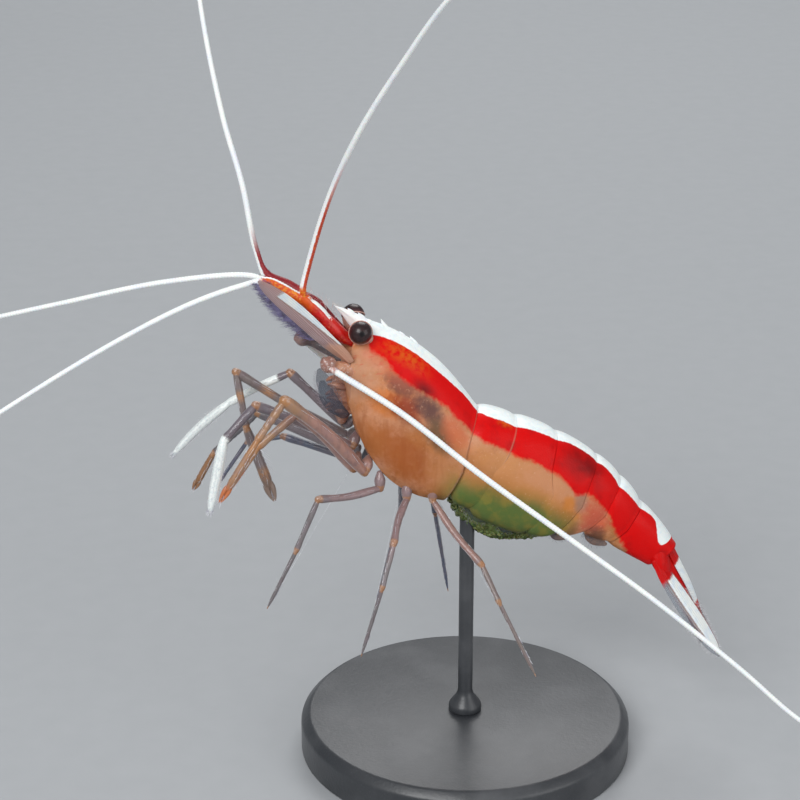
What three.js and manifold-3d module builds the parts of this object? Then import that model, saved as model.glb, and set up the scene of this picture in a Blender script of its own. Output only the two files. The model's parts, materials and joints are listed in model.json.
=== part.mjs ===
// Cleaner shrimp (Lysmata amboinensis), a life-size still model on a plain display stand.
//
// Millimetres, +Z up. The origin is the middle of the underside of the stand's base.
// The shrimp is built in its own frame, X towards its head, Y to its left, Z up. That frame is
// turned half round about Z, so that in the model the head points to -X and its left side to -Y.
// The body leans: the carapace points up and forward, and the abdomen bends down behind it.
import * as THREE from 'three';
import Module from 'manifold-3d';
import { mergeVertices } from 'three/addons/utils/BufferGeometryUtils.js';

const wasm = await Module();
wasm.setup();

// ---- Driving dimensions -------------------------------------------------------------------

const GAP = 0.1; // clearance between neighbouring pieces
const LEFT = 1;
const RIGHT = -1;
const SIDES = [['left', LEFT], ['right', RIGHT]];
// Corners of the sections of each kind of piece.
const BODY_SIDES = 20;
const LIMB_SIDES = 6;
const BLADE_SIDES = 8;
const WHIP_SIDES = 5;
const BALL_SIDES = 12;
const BASE_SIDES = 36;

// The carapace's own frame starts at the middle of its rear edge on the back, X along the carapace.
// `waist` is how far down its depth it is widest.
const CARAPACE = { x: -0.83, z: 37.85, pitch: 42, front: 14.4, waist: 0.56, steps: 12 };

// Sections of the carapace from its rear edge forward: heights of back and breast, half the width.
const CARAPACE_SECTIONS = [
  { at: 0, crest: 0, keel: -9.4, half: 3.75 },
  { at: 2, crest: 0.5, keel: -10.7, half: 4.0 },
  { at: 4.5, crest: 0.85, keel: -11.1, half: 4.2 },
  { at: 7.5, crest: 0.95, keel: -10.0, half: 4.1 },
  { at: 10, crest: 0.8, keel: -8.3, half: 3.5 },
  { at: 12.2, crest: 0.4, keel: -6.5, half: 2.7 },
  { at: 14.4, crest: -0.35, keel: -4.4, half: 1.75 },
];

// Joints of the abdomen, from the carapace to the tail fan: the middle of the back, how much the
// joint's plane leans, depth to the edge of the side plates, half the width, and how far the edge
// of the side plate reaches forward (+) or back (-) of that plane.
const JOINTS = [
  { x: -0.83, z: 37.75, pitch: 26, depth: 9.0, half: 3.6, sweep: -0.7 },
  { x: -4.4, z: 36.6, pitch: 20, depth: 9.5, half: 3.65, sweep: 0.8 },
  { x: -8.5, z: 34.8, pitch: 28, depth: 9.6, half: 3.6, sweep: -1.3 },
  { x: -12.7, z: 32.1, pitch: 38, depth: 8.4, half: 3.3, sweep: -1.0 },
  { x: -15.2, z: 29.7, pitch: 48, depth: 6.6, half: 2.8, sweep: -0.9 },
  { x: -17.3, z: 27.0, pitch: 52, depth: 5.2, half: 2.3, sweep: -0.6 },
  { x: -21.0, z: 22.3, pitch: 60, depth: 3.6, half: 1.7, sweep: 0 },
];
const ABDOMEN_WAIST = 0.52; // how far down its depth the abdomen is widest
const TERGITE_CROWN = 0.28; // how far a ring of the abdomen swells between its joints

// Brood pouch: the hollow under the abdomen, and the eggs carried in it between the swimmerets.
// They start and end at counts of joints, and are sized as shares of the abdomen's own width and
// depth. `ends` is the share of the full section left at either end, `boxy` squares the section.
const POUCH = {
  front: -0.35, back: 5.2, width: 0.8, roof: 0.55, floor: 1.5, ends: 1, boxy: 0.4, steps: 9,
};
const EGGS = {
  front: 0.35, back: 4.35, width: 0.56, roof: 0.6, floor: 1.3, ends: 0.2, boxy: 0.9, steps: 10,
};
const UNDER_SIDES = 12;
const PLEOPOD = { width: 1.9, thick: 0.5, out: 0.66, root: 0.68 };

// Head.
const EYE = { radius: 1.15, forward: 14.85, out: 2.15, up: -0.67 };
const EYESTALK = { forward: 13.2, out: 0.9, up: -1.5, root: 0.75, neck: 0.85 };
const ROSTRUM = {
  root: 13.4,
  rootTop: 0.25,
  rootLow: -2.2,
  back: [[15.0, 0.05], [15.6, -0.15], [15.7, -0.35], [16.7, -0.5], [16.8, -0.72], [17.8, -1.05]],
  belly: [15.6, -1.7],
  thick: 0.7,
  steps: 5,
};
const CREST_TEETH = [6.2, 9.3, 12.6];
const TOOTH = { length: 1.3, height: 0.33, thick: 0.5, sink: 0.5 };

// Stalks of the feelers and the scales beside them: places along, out from the middle and up on
// the carapace, with half-widths there. The joints between the lengths of a stalk are its waists.
const ANTENNULE = {
  left: [
    [13.6, 1.1, -3.1, 0.85], [15.4, 1.2, -2.9, 0.9], [17.6, 1.3, -2.6, 0.8], [18.1, 1.3, -2.5, 0.66],
    [18.6, 1.3, -2.45, 0.76], [19.9, 1.3, -2.3, 0.68], [20.2, 1.3, -2.25, 0.56], [20.5, 1.3, -2.2, 0.64],
    [21.3, 1.3, -2.2, 0.56],
  ],
  right: [
    [13.6, 1.1, -2.9, 0.85], [15.5, 1.15, -2.7, 0.95], [17.8, 1.15, -2.4, 0.85], [18.3, 1.15, -2.35, 0.7],
    [18.8, 1.15, -2.3, 0.8], [20.2, 1.2, -2.25, 0.72], [20.5, 1.2, -2.2, 0.6], [20.8, 1.2, -2.2, 0.68],
    [21.6, 1.2, -2.2, 0.6],
  ],
};
const ANTENNA = {
  left: [
    [11.6, 1.4, -4.6, 1.0], [13.2, 2.1, -5.0, 1.0], [14.3, 2.6, -5.2, 0.85], [14.7, 2.8, -5.25, 0.7],
    [15.2, 3.0, -5.3, 0.8], [15.8, 3.2, -5.3, 0.55],
  ],
  right: [
    [11.6, 1.4, -4.6, 1.0], [13.6, 2.1, -5.0, 0.95], [15.2, 2.6, -5.6, 0.7], [16.3, 2.75, -5.95, 0.55],
    [17.2, 3.0, -6.3, 0.78], [17.9, 3.15, -6.5, 0.55],
  ],
};
const SCALE = {
  thick: 0.5,
  tilt: 44, // degrees that its inner edge hangs below its outer edge
  course: [
    [13.7, 2.3, -3.9, 0.6], [14.8, 2.45, -3.8, 1.05], [17.0, 2.6, -3.7, 1.3], [20.0, 2.65, -3.6, 1.35],
    [22.8, 2.7, -3.5, 1.2], [24.6, 2.75, -3.45, 0.85], [25.5, 2.8, -3.4, 0.4],
  ],
};

// Mouth: the lump of the small jaws under the head, and a thin leaf on each side before it.
const JAWS = [[12.6, 0, -5.6, 0.9], [11.2, 0, -7.6, 1.1], [10.0, 0, -8.8, 0.9], [9.3, 0, -9.7, 0.4]];
const LEAF = {
  thick: 0.5,
  tilt: 75,
  course: [[9.7, 0.8, -8.8, 0.5], [11.4, 1.3, -8.6, 0.8], [13.0, 1.5, -8.0, 0.75], [14.0, 1.6, -7.4, 0.3]],
};

// Tail fan: places behind, out from the middle and above the fan's own frame, with half-widths.
const FAN = { x: -21.0, z: 22.3, pitch: 67 };
const TELSON = {
  deep: [0.5, 0.48, 0.4, 0.3, 0.25],
  course: [
    [-0.35, 0, -0.55, 1.2], [-2.5, 0, -0.4, 1.25], [-5.5, 0, -0.2, 1.0], [-8.8, 0, -0.2, 0.7],
    [-10.0, 0, -0.25, 0.35],
  ],
};
const UROPODS = {
  inner: {
    tilt: 36,
    thick: 0.5,
    course: [
      [-0.4, 0.95, -1.9, 0.5], [-2.0, 1.0, -1.85, 0.8], [-5.0, 1.1, -1.7, 1.05],
      [-8.5, 1.3, -1.45, 0.95], [-10.6, 1.45, -1.25, 0.65], [-11.4, 1.5, -1.2, 0.35],
    ],
  },
  outer: {
    tilt: 48,
    thick: 0.5,
    course: [
      [-0.5, 1.9, -2.3, 0.6], [-2.2, 2.3, -2.05, 0.95], [-5.0, 2.55, -1.6, 1.2],
      [-8.6, 2.75, -0.95, 1.2], [-11.6, 2.85, -0.4, 0.85], [-12.9, 2.9, -0.15, 0.35],
    ],
  },
};

// Stand. The rod's top is cut to the shape of the eggs it holds up, but for a hair's play.
const ROD_PLAY = 0.01;
const STAND = { radius: 17, thick: 4, chamfer: 0.8, rod: 0.75, collar: 1.7, collarHeight: 1.8, top: 27 };

// ---- Finishes -----------------------------------------------------------------------------

/** A plain finish of one colour. */
function finish(color, roughness = 0.45, metalness = 0) {
  return new THREE.MeshStandardMaterial({ color, roughness, metalness });
}

const FINISH = {
  shell: finish('#b5603c'),
  band: finish('#a8150c', 0.35),
  white: finish('#eef3ee', 0.4),
  limb: finish('#8c6a5e'),
  glassy: finish('#b9a7a8', 0.3),
  eye: finish('#140c0c', 0.15),
  eggs: finish('#6d7a2e', 0.3),
  stand: finish('#1b1c1e', 0.5),
};

// ---- Geometry helpers ---------------------------------------------------------------------

const vector = (x, y, z) => new THREE.Vector3(x, y, z);
const radians = THREE.MathUtils.degToRad;
const mix = THREE.MathUtils.lerp;

/** Joins a geometry's shared corners and turns its faces outwards. */
function closed(geometry) {
  geometry.deleteAttribute('normal');
  geometry.deleteAttribute('uv');
  const joined = mergeVertices(geometry, 1e-4);
  const spot = joined.attributes.position;
  const corners = joined.index.array;
  const corner = (i) => new THREE.Vector3().fromBufferAttribute(spot, corners[i]);
  let volume = 0;
  for (let i = 0; i < corners.length; i += 3) {
    volume += corner(i).dot(corner(i + 1).cross(corner(i + 2)));
  }
  if (volume < 0) {
    for (let i = 0; i < corners.length; i += 3) {
      [corners[i], corners[i + 1]] = [corners[i + 1], corners[i]];
    }
  }
  return joined;
}

/** The solid of a closed geometry. */
function solidOf(geometry) {
  return new wasm.Manifold(new wasm.Mesh({
    numProp: 3,
    vertProperties: new Float32Array(geometry.attributes.position.array),
    triVerts: new Uint32Array(geometry.index.array),
  }));
}

/** The geometry of a solid. */
function geometryOf(solid) {
  const { vertProperties, triVerts } = solid.getMesh();
  const geometry = new THREE.BufferGeometry();
  geometry.setAttribute('position', new THREE.BufferAttribute(vertProperties, 3));
  geometry.setIndex(new THREE.BufferAttribute(triVerts, 1));
  return closed(geometry);
}

/** A geometry cut by others. */
function carve(geometry, ...cutters) {
  const cut = (solid, cutter) => solid.subtract(solidOf(cutter));
  return geometryOf(cutters.reduce(cut, solidOf(geometry)));
}

/** Several overlapping geometries made one. */
function unite(...geometries) {
  return geometryOf(geometries.map(solidOf).reduce((whole, next) => whole.add(next)));
}

/** A skin over a row of rings that all have the same number of points, closed at both ends. */
function loft(rings) {
  const sides = rings[0].length;
  const steps = rings.length - 1;
  const shape = new THREE.CylinderGeometry(1, 1, 1, sides, steps);
  const spot = shape.attributes.position;
  for (let i = 0; i < spot.count; i += 1) {
    const ring = rings[Math.round((0.5 - spot.getY(i)) * steps)];
    const turn = Math.atan2(spot.getX(i), spot.getZ(i)) / (2 * Math.PI);
    const isMiddle = Math.hypot(spot.getX(i), spot.getZ(i)) < 0.5;
    const point = isMiddle ? middleOf(ring) : ring[(Math.round(turn * sides) + sides) % sides];
    spot.setXYZ(i, point.x, point.y, point.z);
  }
  return closed(shape);
}

/** The middle of a ring of points. */
function middleOf(ring) {
  return ring.reduce((sum, point) => sum.add(point), vector(0, 0, 0)).divideScalar(ring.length);
}

/** Points round a section, from the top round by the left: sideways and upward shares, -1 to 1. */
function section(sides, above = 1, below = 1) {
  return Array.from({ length: sides }, (unused, i) => {
    const angle = (2 * Math.PI * i) / sides;
    const power = Math.cos(angle) < 0 ? below : above;
    const shaped = (share) => Math.sign(share) * Math.abs(share) ** power;
    return { out: shaped(Math.sin(angle)), up: shaped(Math.cos(angle)), flank: Math.sin(angle / 2) ** 2 };
  });
}

/**
 * A tapering tube through stations { at, wide, deep }: half-widths across and at right angles to it.
 * `across` is the direction that `wide` is measured in, as nearly as the tube's own course allows.
 */
function tube(stations, sides = BLADE_SIDES, across = vector(0, 1, 0)) {
  const last = stations.length - 1;
  let sideways = across.clone();
  return loft(stations.map(({ at, wide, deep = wide }, i) => {
    const arriving = at.clone().sub(stations[Math.max(i - 1, 0)].at).normalize();
    const leaving = stations[Math.min(i + 1, last)].at.clone().sub(at).normalize();
    const ahead = arriving.add(leaving);
    const up = ahead.clone().cross(sideways).normalize();
    sideways = up.clone().cross(ahead).normalize();
    return section(sides).map(({ out, up: rise }) => at.clone()
      .addScaledVector(sideways, wide * out)
      .addScaledVector(up, deep * rise));
  }));
}

/** The value of a profile at `at`, smooth through its rows. */
function profile(rows, key, at) {
  const last = rows.length - 1;
  let i = 0;
  while (i < last - 1 && rows[i + 1].at < at) i += 1;
  const slope = (n) => {
    const before = rows[Math.max(n - 1, 0)];
    const after = rows[Math.min(n + 1, last)];
    return (after[key] - before[key]) / (after.at - before.at);
  };
  const [a, b] = [rows[i], rows[i + 1]];
  const span = b.at - a.at;
  const t = (at - a.at) / span;
  return (2 * t ** 3 - 3 * t ** 2 + 1) * a[key] + (t ** 3 - 2 * t ** 2 + t) * span * slope(i)
    + (3 * t ** 2 - 2 * t ** 3) * b[key] + (t ** 3 - t ** 2) * span * slope(i + 1);
}

/** A point given along, left of and above a leaning frame { x, z, pitch }. */
function leaning(frame, along, left, up) {
  const lean = radians(frame.pitch);
  const [c, s] = [Math.cos(lean), Math.sin(lean)];
  return vector(frame.x + along * c - up * s, left, frame.z + along * s + up * c);
}

const onHead = (along, left, up) => leaning(CARAPACE, along, left, up);

/** The unit vector with a heading (degrees outwards from straight ahead) and a rise (degrees). */
function direction(side, heading, rise) {
  const [turn, climb] = [radians(heading), radians(rise)];
  return vector(Math.cos(turn) * Math.cos(climb), side * Math.sin(turn) * Math.cos(climb), Math.sin(climb));
}

// ---- Trunk --------------------------------------------------------------------------------

/** The carapace's rounded body, `grown` on every side when it is used to cut its neighbours. */
function carapaceBody(grown = 0) {
  const shape = section(BODY_SIDES, 1.05, 0.75);
  const rearLean = Math.tan(radians(CARAPACE.pitch - JOINTS[0].pitch));
  return loft(Array.from({ length: CARAPACE.steps + 1 }, (unused, i) => {
    const share = i / CARAPACE.steps;
    const at = share * CARAPACE.front;
    const crest = profile(CARAPACE_SECTIONS, 'crest', at) + grown;
    const keel = profile(CARAPACE_SECTIONS, 'keel', at) - grown;
    const half = profile(CARAPACE_SECTIONS, 'half', at) + grown;
    const waist = mix(crest, keel, CARAPACE.waist);
    return shape.map(({ out, up, flank }) => {
      const rear = share === 0 ? grown : 0;
      const front = share === 1 ? grown : 0;
      const height = up > 0 ? mix(waist, crest, up) : mix(waist, keel, -up);
      const lobe = height * rearLean + JOINTS[0].sweep * Math.min(1, 2 * flank) ** 2;
      return onHead(at + lobe * (1 - share) ** 2 - rear + front, half * out, height);
    });
  }));
}

/** A thin upright plate on the middle line of the carapace, from its outline seen from the side. */
function midPlate(outline, width, steps = 1) {
  const plate = new THREE.ExtrudeGeometry(outline, {
    depth: width,
    bevelEnabled: false,
    curveSegments: steps,
  });
  plate.translate(0, 0, -width / 2);
  plate.rotateX(Math.PI / 2);
  plate.rotateY(-radians(CARAPACE.pitch));
  plate.translate(CARAPACE.x, 0, CARAPACE.z);
  return closed(plate);
}

/** A small forward-pointing tooth of the crest. */
function crestTooth(at) {
  const crest = profile(CARAPACE_SECTIONS, 'crest', at);
  const outline = new THREE.Shape();
  outline.moveTo(at - TOOTH.length, crest);
  outline.lineTo(at + TOOTH.length / 2, crest + TOOTH.height);
  outline.lineTo(at + TOOTH.length / 2, crest);
  outline.lineTo(at, crest - TOOTH.sink);
  return midPlate(outline, TOOTH.thick);
}

/** The beak between the eyes, a thin blade with small teeth on its back and a sharp tip. */
function rostrum() {
  const outline = new THREE.Shape();
  outline.moveTo(ROSTRUM.root, ROSTRUM.rootLow);
  outline.lineTo(ROSTRUM.root, ROSTRUM.rootTop);
  for (const [along, up] of ROSTRUM.back) {
    outline.lineTo(along, up);
  }
  outline.quadraticCurveTo(...ROSTRUM.belly, ROSTRUM.root, ROSTRUM.rootLow);
  return midPlate(outline, ROSTRUM.thick, ROSTRUM.steps);
}

/** The ring of points at a joint of the abdomen, moved along the body by `shift`. */
function jointRing(joint, shift, crown = 0) {
  const shape = section(BODY_SIDES, 0.95, 0.55);
  const waist = -ABDOMEN_WAIST * joint.depth;
  return shape.map(({ out, up, flank }) => {
    const height = up > 0 ? mix(waist, crown, up) : mix(waist, -joint.depth, -up);
    const reach = joint.sweep * Math.min(1, 2 * flank) ** 2;
    return leaning(joint, reach + shift, (joint.half + crown * 0.6) * out, height);
  });
}

/** A joint between two of the abdomen's, at a share of the way from the first to the second. */
function between(first, second, share) {
  const middle = {};
  for (const key of Object.keys(first)) {
    middle[key] = mix(first[key], second[key], share);
  }
  return middle;
}

/** The place at a count of joints from the front, such as 2.5 for the middle of the third ring. */
function placeAt(count) {
  const first = THREE.MathUtils.clamp(Math.floor(count), 0, JOINTS.length - 2);
  return between(JOINTS[first], JOINTS[first + 1], count - first);
}

/** One ring of the abdomen as a whole body. */
function abdomenRing(number) {
  const [front, back] = [JOINTS[number - 1], JOINTS[number]];
  const middles = [0.25, 0.5, 0.75].map((share) => {
    const crown = TERGITE_CROWN * Math.sin(Math.PI * share) ** 0.5;
    return jointRing(between(front, back, share), 0, crown);
  });
  return loft([jointRing(front, -GAP / 2), ...middles, jointRing(back, GAP / 2)]);
}

/** A plump body along the abdomen's underside. */
function underBody({ front, back, width, roof, floor, ends, boxy, steps }) {
  return loft(Array.from({ length: steps + 1 }, (unused, i) => {
    const share = i / steps;
    const place = placeAt(mix(front, back, share));
    const plump = ends + (1 - ends) * Math.sqrt(Math.max(0, 1 - (2 * share - 1) ** 4));
    const half = place.half * width * plump;
    const tall = ((floor - roof) / 2) * place.depth * plump;
    const middle = (-(roof + floor) / 2) * place.depth;
    return section(UNDER_SIDES, boxy, boxy).map(
      ({ out, up }) => leaning(place, 0, half * out, middle + tall * up),
    );
  }));
}

const pouch = underBody(POUCH);

/** One ring of the abdomen; all but the last are hollowed by the brood pouch. */
function abdomenPiece(number) {
  const ring = abdomenRing(number);
  return number < JOINTS.length - 1 ? carve(ring, pouch) : ring;
}

// ---- Limbs --------------------------------------------------------------------------------

/** The joints of a limb: its root and the end of each length. */
function limbJoints(side, { root, lengths }) {
  const joints = [onHead(root[0], side * root[1], root[2])];
  for (const { long, heading, rise } of lengths) {
    joints.push(joints.at(-1).clone().addScaledVector(direction(side, heading, rise), long));
  }
  return joints;
}

/** Stations along a limb: each length swells a little between its joints and tapers at the tip. */
function limbStations(side, limb) {
  const joints = limbJoints(side, limb);
  const stations = [];
  limb.lengths.forEach(({ thick, tip = thick * 0.7 }, i) => {
    const isLast = i === limb.lengths.length - 1;
    const swell = i === 0 ? [[0.5, 1]] : [[0.15, 0.95], [isLast ? 0.6 : 0.85, 0.9]];
    stations.push({ at: joints[i], wide: thick * 0.4 });
    for (const [share, plump] of swell) {
      stations.push({ at: joints[i].clone().lerp(joints[i + 1], share), wide: (thick * plump) / 2 });
    }
    if (isLast) {
      stations.push({ at: joints[i + 1], wide: tip / 2 });
    }
  });
  return stations;
}

/** One length of a limb: mm long, degrees outwards and upwards, mm thick. */
const length = (long, heading, rise, thick, tip) => ({ long, heading, rise, thick, tip });

// The short first length: it hangs from the breast, or leans out and forward under the head.
const coxa = (thick) => length(1.4, 90, -80, thick);
const hip = (thick) => length(1.4, 60, -40, thick);

// Roots on the breast (along, out, up on the carapace), and each length from the body outwards.
const LIMBS = {
  maxilliped_left: { root: [7.5, 0.6, -9.6], lengths: [
    hip(1.15), length(10.6, 3.5, 28, 1.15), length(4.6, 24, -40, 0.9), length(7.2, 33, -75, 0.85, 0.5)] },
  maxilliped_right: { root: [8.6, 0.2, -9.0], lengths: [
    hip(1.1), length(7.5, 18, 43, 1.1), length(7.1, 11, -29, 0.9), length(7.9, 5, -44, 0.8, 0.5)] },
  pereiopod_1_left: { root: [6.1, 1.2, -11.1], lengths: [
    hip(1.2), length(8.7, 15, 50, 1.25), length(5.0, 9, -38, 0.95), length(6.3, 0, -57, 0.9, 0.5)] },
  pereiopod_1_right: { root: [7.0, 1.5, -9.9], lengths: [
    hip(1.1), length(13.5, -3, 34, 1.1), length(5.6, -117, -71, 0.8), length(8.0, -167, -71, 0.9, 0.5)] },
  pereiopod_2_left: { root: [5.3, 2.0, -10.5], lengths: [
    hip(1.2), length(12.8, 26, 47, 1.25), length(4.6, 20, -51, 0.9), length(6.8, 15, -56, 0.85, 0.5)] },
  pereiopod_2_right: { root: [5.7, 1.3, -11.1], lengths: [
    hip(1.1), length(10.2, 14, 22, 1.1), length(6.5, 13, -45, 0.85), length(4.6, 13, -62, 0.8, 0.5)] },
  pereiopod_3_left: { root: [3.5, 2.4, -10.9], lengths: [
    coxa(1.1), length(7.6, 32, 7, 0.9), length(5.5, 24, -63, 0.62), length(7.0, -12, -65, 0.55, 0.5)] },
  pereiopod_3_right: { root: [4.4, 2.3, -11.1], lengths: [
    coxa(1.1), length(8.8, 17, 15, 0.9), length(3.8, 16, -12, 0.65), length(7.8, 13, -57, 0.55, 0.5)] },
  pereiopod_4_left: { root: [0.8, 2.7, -10.0], lengths: [
    coxa(1.05), length(5.9, 70, -24, 0.9), length(4.5, 55, -58, 0.62), length(7.5, 0, -74, 0.55, 0.5)] },
  pereiopod_4_right: { root: [0.6, 2.5, -9.9], lengths: [
    coxa(1.05), length(6.7, 95, -60, 0.9), length(4.1, 48, -71, 0.62), length(7.6, 16, -77, 0.55, 0.5)] },
  pereiopod_5_left: { root: [-1.3, 2.7, -8.5], lengths: [
    coxa(1.0), length(8.1, 133, -39, 0.85), length(4.1, 119, -46, 0.62), length(8.4, 157, -63, 0.55, 0.5)] },
  pereiopod_5_right: { root: [-1.2, 2.5, -8.2], lengths: [
    coxa(1.0), length(5.9, 101, -34, 0.85), length(4.0, 124, -72, 0.62), length(9.2, 180, -81, 0.55, 0.5)] },
};

// ---- Feelers ------------------------------------------------------------------------------

// Each whip: mm thick at its root and tip, and the points it passes, in mm forward, left and up.
// Those with a `club` start with a stout stretch of that many mm.
const WHIPS = {
  antennule_flagellum_left_inner: { thick: 0.62, tip: 0.5, course: [
    [16.25, 1.55, 51.25], [15.8, 1.7, 53.4], [13.9, 4.0, 60.9], [11.5, 8.0, 68.1],
    [8.0, 12.5, 75.6], [4.7, 17.0, 82.0], [0.2, 22.0, 88.1]] },
  antennule_flagellum_left_outer: { thick: 0.6, tip: 0.5, club: 3.6, course: [
    [17.05, 1.25, 50.95], [19.7, 1.0, 52.3], [22.3, 1.3, 51.7], [26.9, 2.0, 50.4],
    [34.1, 4.0, 47.6], [44.9, 8.5, 42.8], [54.0, 12.5, 38.2]] },
  antennule_flagellum_right_inner: { thick: 0.6, tip: 0.5, course: [
    [17.2, -0.75, 50.75], [19.7, -0.8, 51.6], [21.4, -1.0, 52.0], [29.4, -2.5, 51.1],
    [39.7, -5.0, 48.4], [52.3, -8.5, 44.8], [58.4, -10.0, 43.2]] },
  antennule_flagellum_right_outer: { thick: 0.62, tip: 0.5, club: 3.4, course: [
    [17.3, -1.35, 51.5], [19.7, -1.0, 52.7], [20.6, -1.2, 55.2], [21.6, -2.0, 60.8],
    [23.2, -4.0, 67.0], [24.9, -7.0, 77.4], [25.6, -12.0, 90.5]] },
  antenna_flagellum_left: { thick: 0.65, tip: 0.5, course: [
    [13.7, 3.6, 43.8], [7.3, 5.0, 39.6], [-0.1, 7.0, 33.7], [-9.3, 10.0, 27.1],
    [-16.4, 13.0, 22.2], [-24.5, 16.0, 15.8], [-30.2, 18.0, 10.9], [-36.5, 20.5, 7.4],
    [-43.0, 23.5, 6.2]] },
  antenna_flagellum_right: { thick: 0.65, tip: 0.5, course: [
    [15.8, -3.7, 44.1], [14.0, -5.2, 41.9], [9.9, -9.0, 37.0], [3.0, -15.0, 30.2],
    [-5.5, -21.5, 23.0], [-14.5, -28.0, 16.2], [-22.5, -33.5, 11.5], [-30.0, -38.0, 8.8]] },
};
const CLUB_THICK = 1.05;
const WHIP_STEPS = 18;

/** A long whip of a feeler. */
function whip({ course, thick, tip, club = 0 }) {
  const curve = new THREE.CatmullRomCurve3(course.map(([x, y, z]) => vector(x, y, z)));
  const stout = club / curve.getLength();
  const shares = Array.from({ length: WHIP_STEPS + 1 }, (unused, i) => (i / WHIP_STEPS) ** 1.3);
  const stations = shares.map((share) => {
    const plain = mix(thick, tip, share);
    const swollen = mix(CLUB_THICK, plain, THREE.MathUtils.smoothstep(share, stout * 0.5, stout * 1.3));
    return { at: curve.getPointAt(share), wide: (club ? swollen : plain) / 2 };
  });
  return tube(stations, WHIP_SIDES);
}

// ---- Small blades and stalks ----------------------------------------------------------------

/** Stations of a stalk or blade whose course is given in a leaning frame, on one side. */
function stationsIn(frame, side, course, deep) {
  return course.map(([along, out, up, wide], i) => ({
    at: leaning(frame, along, side * out, up),
    wide,
    deep: Array.isArray(deep) ? deep[i] : deep ?? wide,
  }));
}

/** The crosswise direction of a blade whose outer edge is tilted up (+) or down (-), in degrees. */
function crosswise(frame, side, tilt) {
  const turn = radians(tilt);
  const origin = leaning(frame, 0, 0, 0);
  return leaning(frame, 0, side * Math.cos(turn), Math.sin(turn)).sub(origin);
}

/** A flat blade along a course in a leaning frame. */
function blade(frame, side, { course, thick, tilt = 0 }) {
  return tube(stationsIn(frame, side, course, thick / 2), BLADE_SIDES, crosswise(frame, side, tilt));
}

/** A ball, for rounding a knob or for cutting room for one. */
function ball(at, radius) {
  const shape = new THREE.SphereGeometry(radius, BALL_SIDES, (BALL_SIDES * 2) / 3);
  shape.translate(at.x, at.y, at.z);
  return closed(shape);
}

/** A swimmeret: a thin blade that hangs in the brood pouch beside the eggs. */
function pleopod(number, side) {
  const place = placeAt(number - 0.45);
  const hang = (share, back, wide) => ({
    at: leaning(place, -back, side * PLEOPOD.out * place.half, -share * place.depth),
    wide,
    deep: PLEOPOD.thick / 2,
  });
  const half = PLEOPOD.width / 2;
  const forward = leaning(place, 1, 0, 0).sub(leaning(place, 0, 0, 0));
  return tube([
    hang(PLEOPOD.root, 0, half * 0.6), hang(0.75, 0.1, half * 0.9), hang(0.95, 0.4, half),
    hang(1.1, 0.8, half * 0.75), hang(1.18, 1.1, half * 0.35),
  ], BLADE_SIDES, forward);
}

/** The small jaws under the head with a leaf on each side. */
function mouthparts() {
  const lump = tube(stationsIn(CARAPACE, LEFT, JAWS));
  const leaves = SIDES.map(([, side]) => blade(CARAPACE, side, LEAF));
  return unite(lump, ...leaves);
}

// ---- The shrimp ---------------------------------------------------------------------------

const shrimp = new THREE.Group();
shrimp.rotation.z = Math.PI;

/** Adds a named piece to a group and hands back its geometry. */
function add(name, geometry, material, group = shrimp) {
  const mesh = new THREE.Mesh(geometry, material);
  mesh.name = name;
  group.add(mesh);
  return geometry;
}

// Room for a piece is its shape grown by the gap, cut out of whatever comes to lie against it.
const carapaceRoom = carapaceBody(GAP);
add('carapace', unite(carapaceBody(), ...CREST_TEETH.map(crestTooth)), FINISH.shell);
add('rostrum', carve(rostrum(), carapaceRoom), FINISH.white);
add('mouthparts', carve(mouthparts(), carapaceRoom), FINISH.limb);

for (let number = 1; number < JOINTS.length; number += 1) {
  add(`abdomen_${number}`, abdomenPiece(number), FINISH.band);
}
add('egg_mass', underBody(EGGS), FINISH.eggs);

for (const [name, side] of SIDES) {
  const eye = onHead(EYE.forward, side * EYE.out, EYE.up);
  add(`eye_${name}`, ball(eye, EYE.radius), FINISH.eye);
  const root = onHead(EYESTALK.forward, side * EYESTALK.out, EYESTALK.up);
  const stalk = tube([
    { at: root, wide: EYESTALK.root },
    { at: root.clone().lerp(eye, 0.6), wide: EYESTALK.neck },
    { at: root.clone().lerp(eye, 0.95), wide: EYE.radius * 0.8 },
  ], BLADE_SIDES, vector(0, 0, 1));
  add(`eyestalk_${name}`, carve(stalk, carapaceRoom, ball(eye, EYE.radius + GAP)), FINISH.shell);

  const antennule = tube(stationsIn(CARAPACE, side, ANTENNULE[name]));
  add(`antennule_${name}`, carve(antennule, carapaceRoom), FINISH.band);
  const antennaStations = stationsIn(CARAPACE, side, ANTENNA[name]);
  add(`antenna_${name}`, carve(tube(antennaStations), carapaceRoom), FINISH.limb);
  const antennaRoom = tube(antennaStations.map(({ at, wide }) => ({ at, wide: wide + GAP })));
  const scale = blade(CARAPACE, side, SCALE);
  add(`scaphocerite_${name}`, carve(scale, carapaceRoom, antennaRoom), FINISH.glassy);
  const lash = `antenna_flagellum_${name}`;
  add(lash, carve(whip(WHIPS[lash]), antennaRoom), FINISH.white);

  for (let number = 1; number <= 5; number += 1) {
    add(`pleopod_${number}_${name}`, pleopod(number, side), FINISH.glassy);
  }
  for (const [part, shape] of Object.entries(UROPODS)) {
    add(`uropod_${name}_${part}`, blade(FAN, side, { ...shape, tilt: -shape.tilt }), FINISH.white);
  }
}
add('telson', tube(stationsIn(FAN, LEFT, TELSON.course, TELSON.deep)), FINISH.band);

for (const [name, limb] of Object.entries(LIMBS)) {
  const side = name.endsWith('left') ? LEFT : RIGHT;
  add(name, carve(tube(limbStations(side, limb), LIMB_SIDES), carapaceRoom), FINISH.limb);
}
for (const [name, feeler] of Object.entries(WHIPS)) {
  if (name.startsWith('antennule')) {
    add(name, whip(feeler), FINISH.white);
  }
}

// ---- The stand ----------------------------------------------------------------------------

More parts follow.
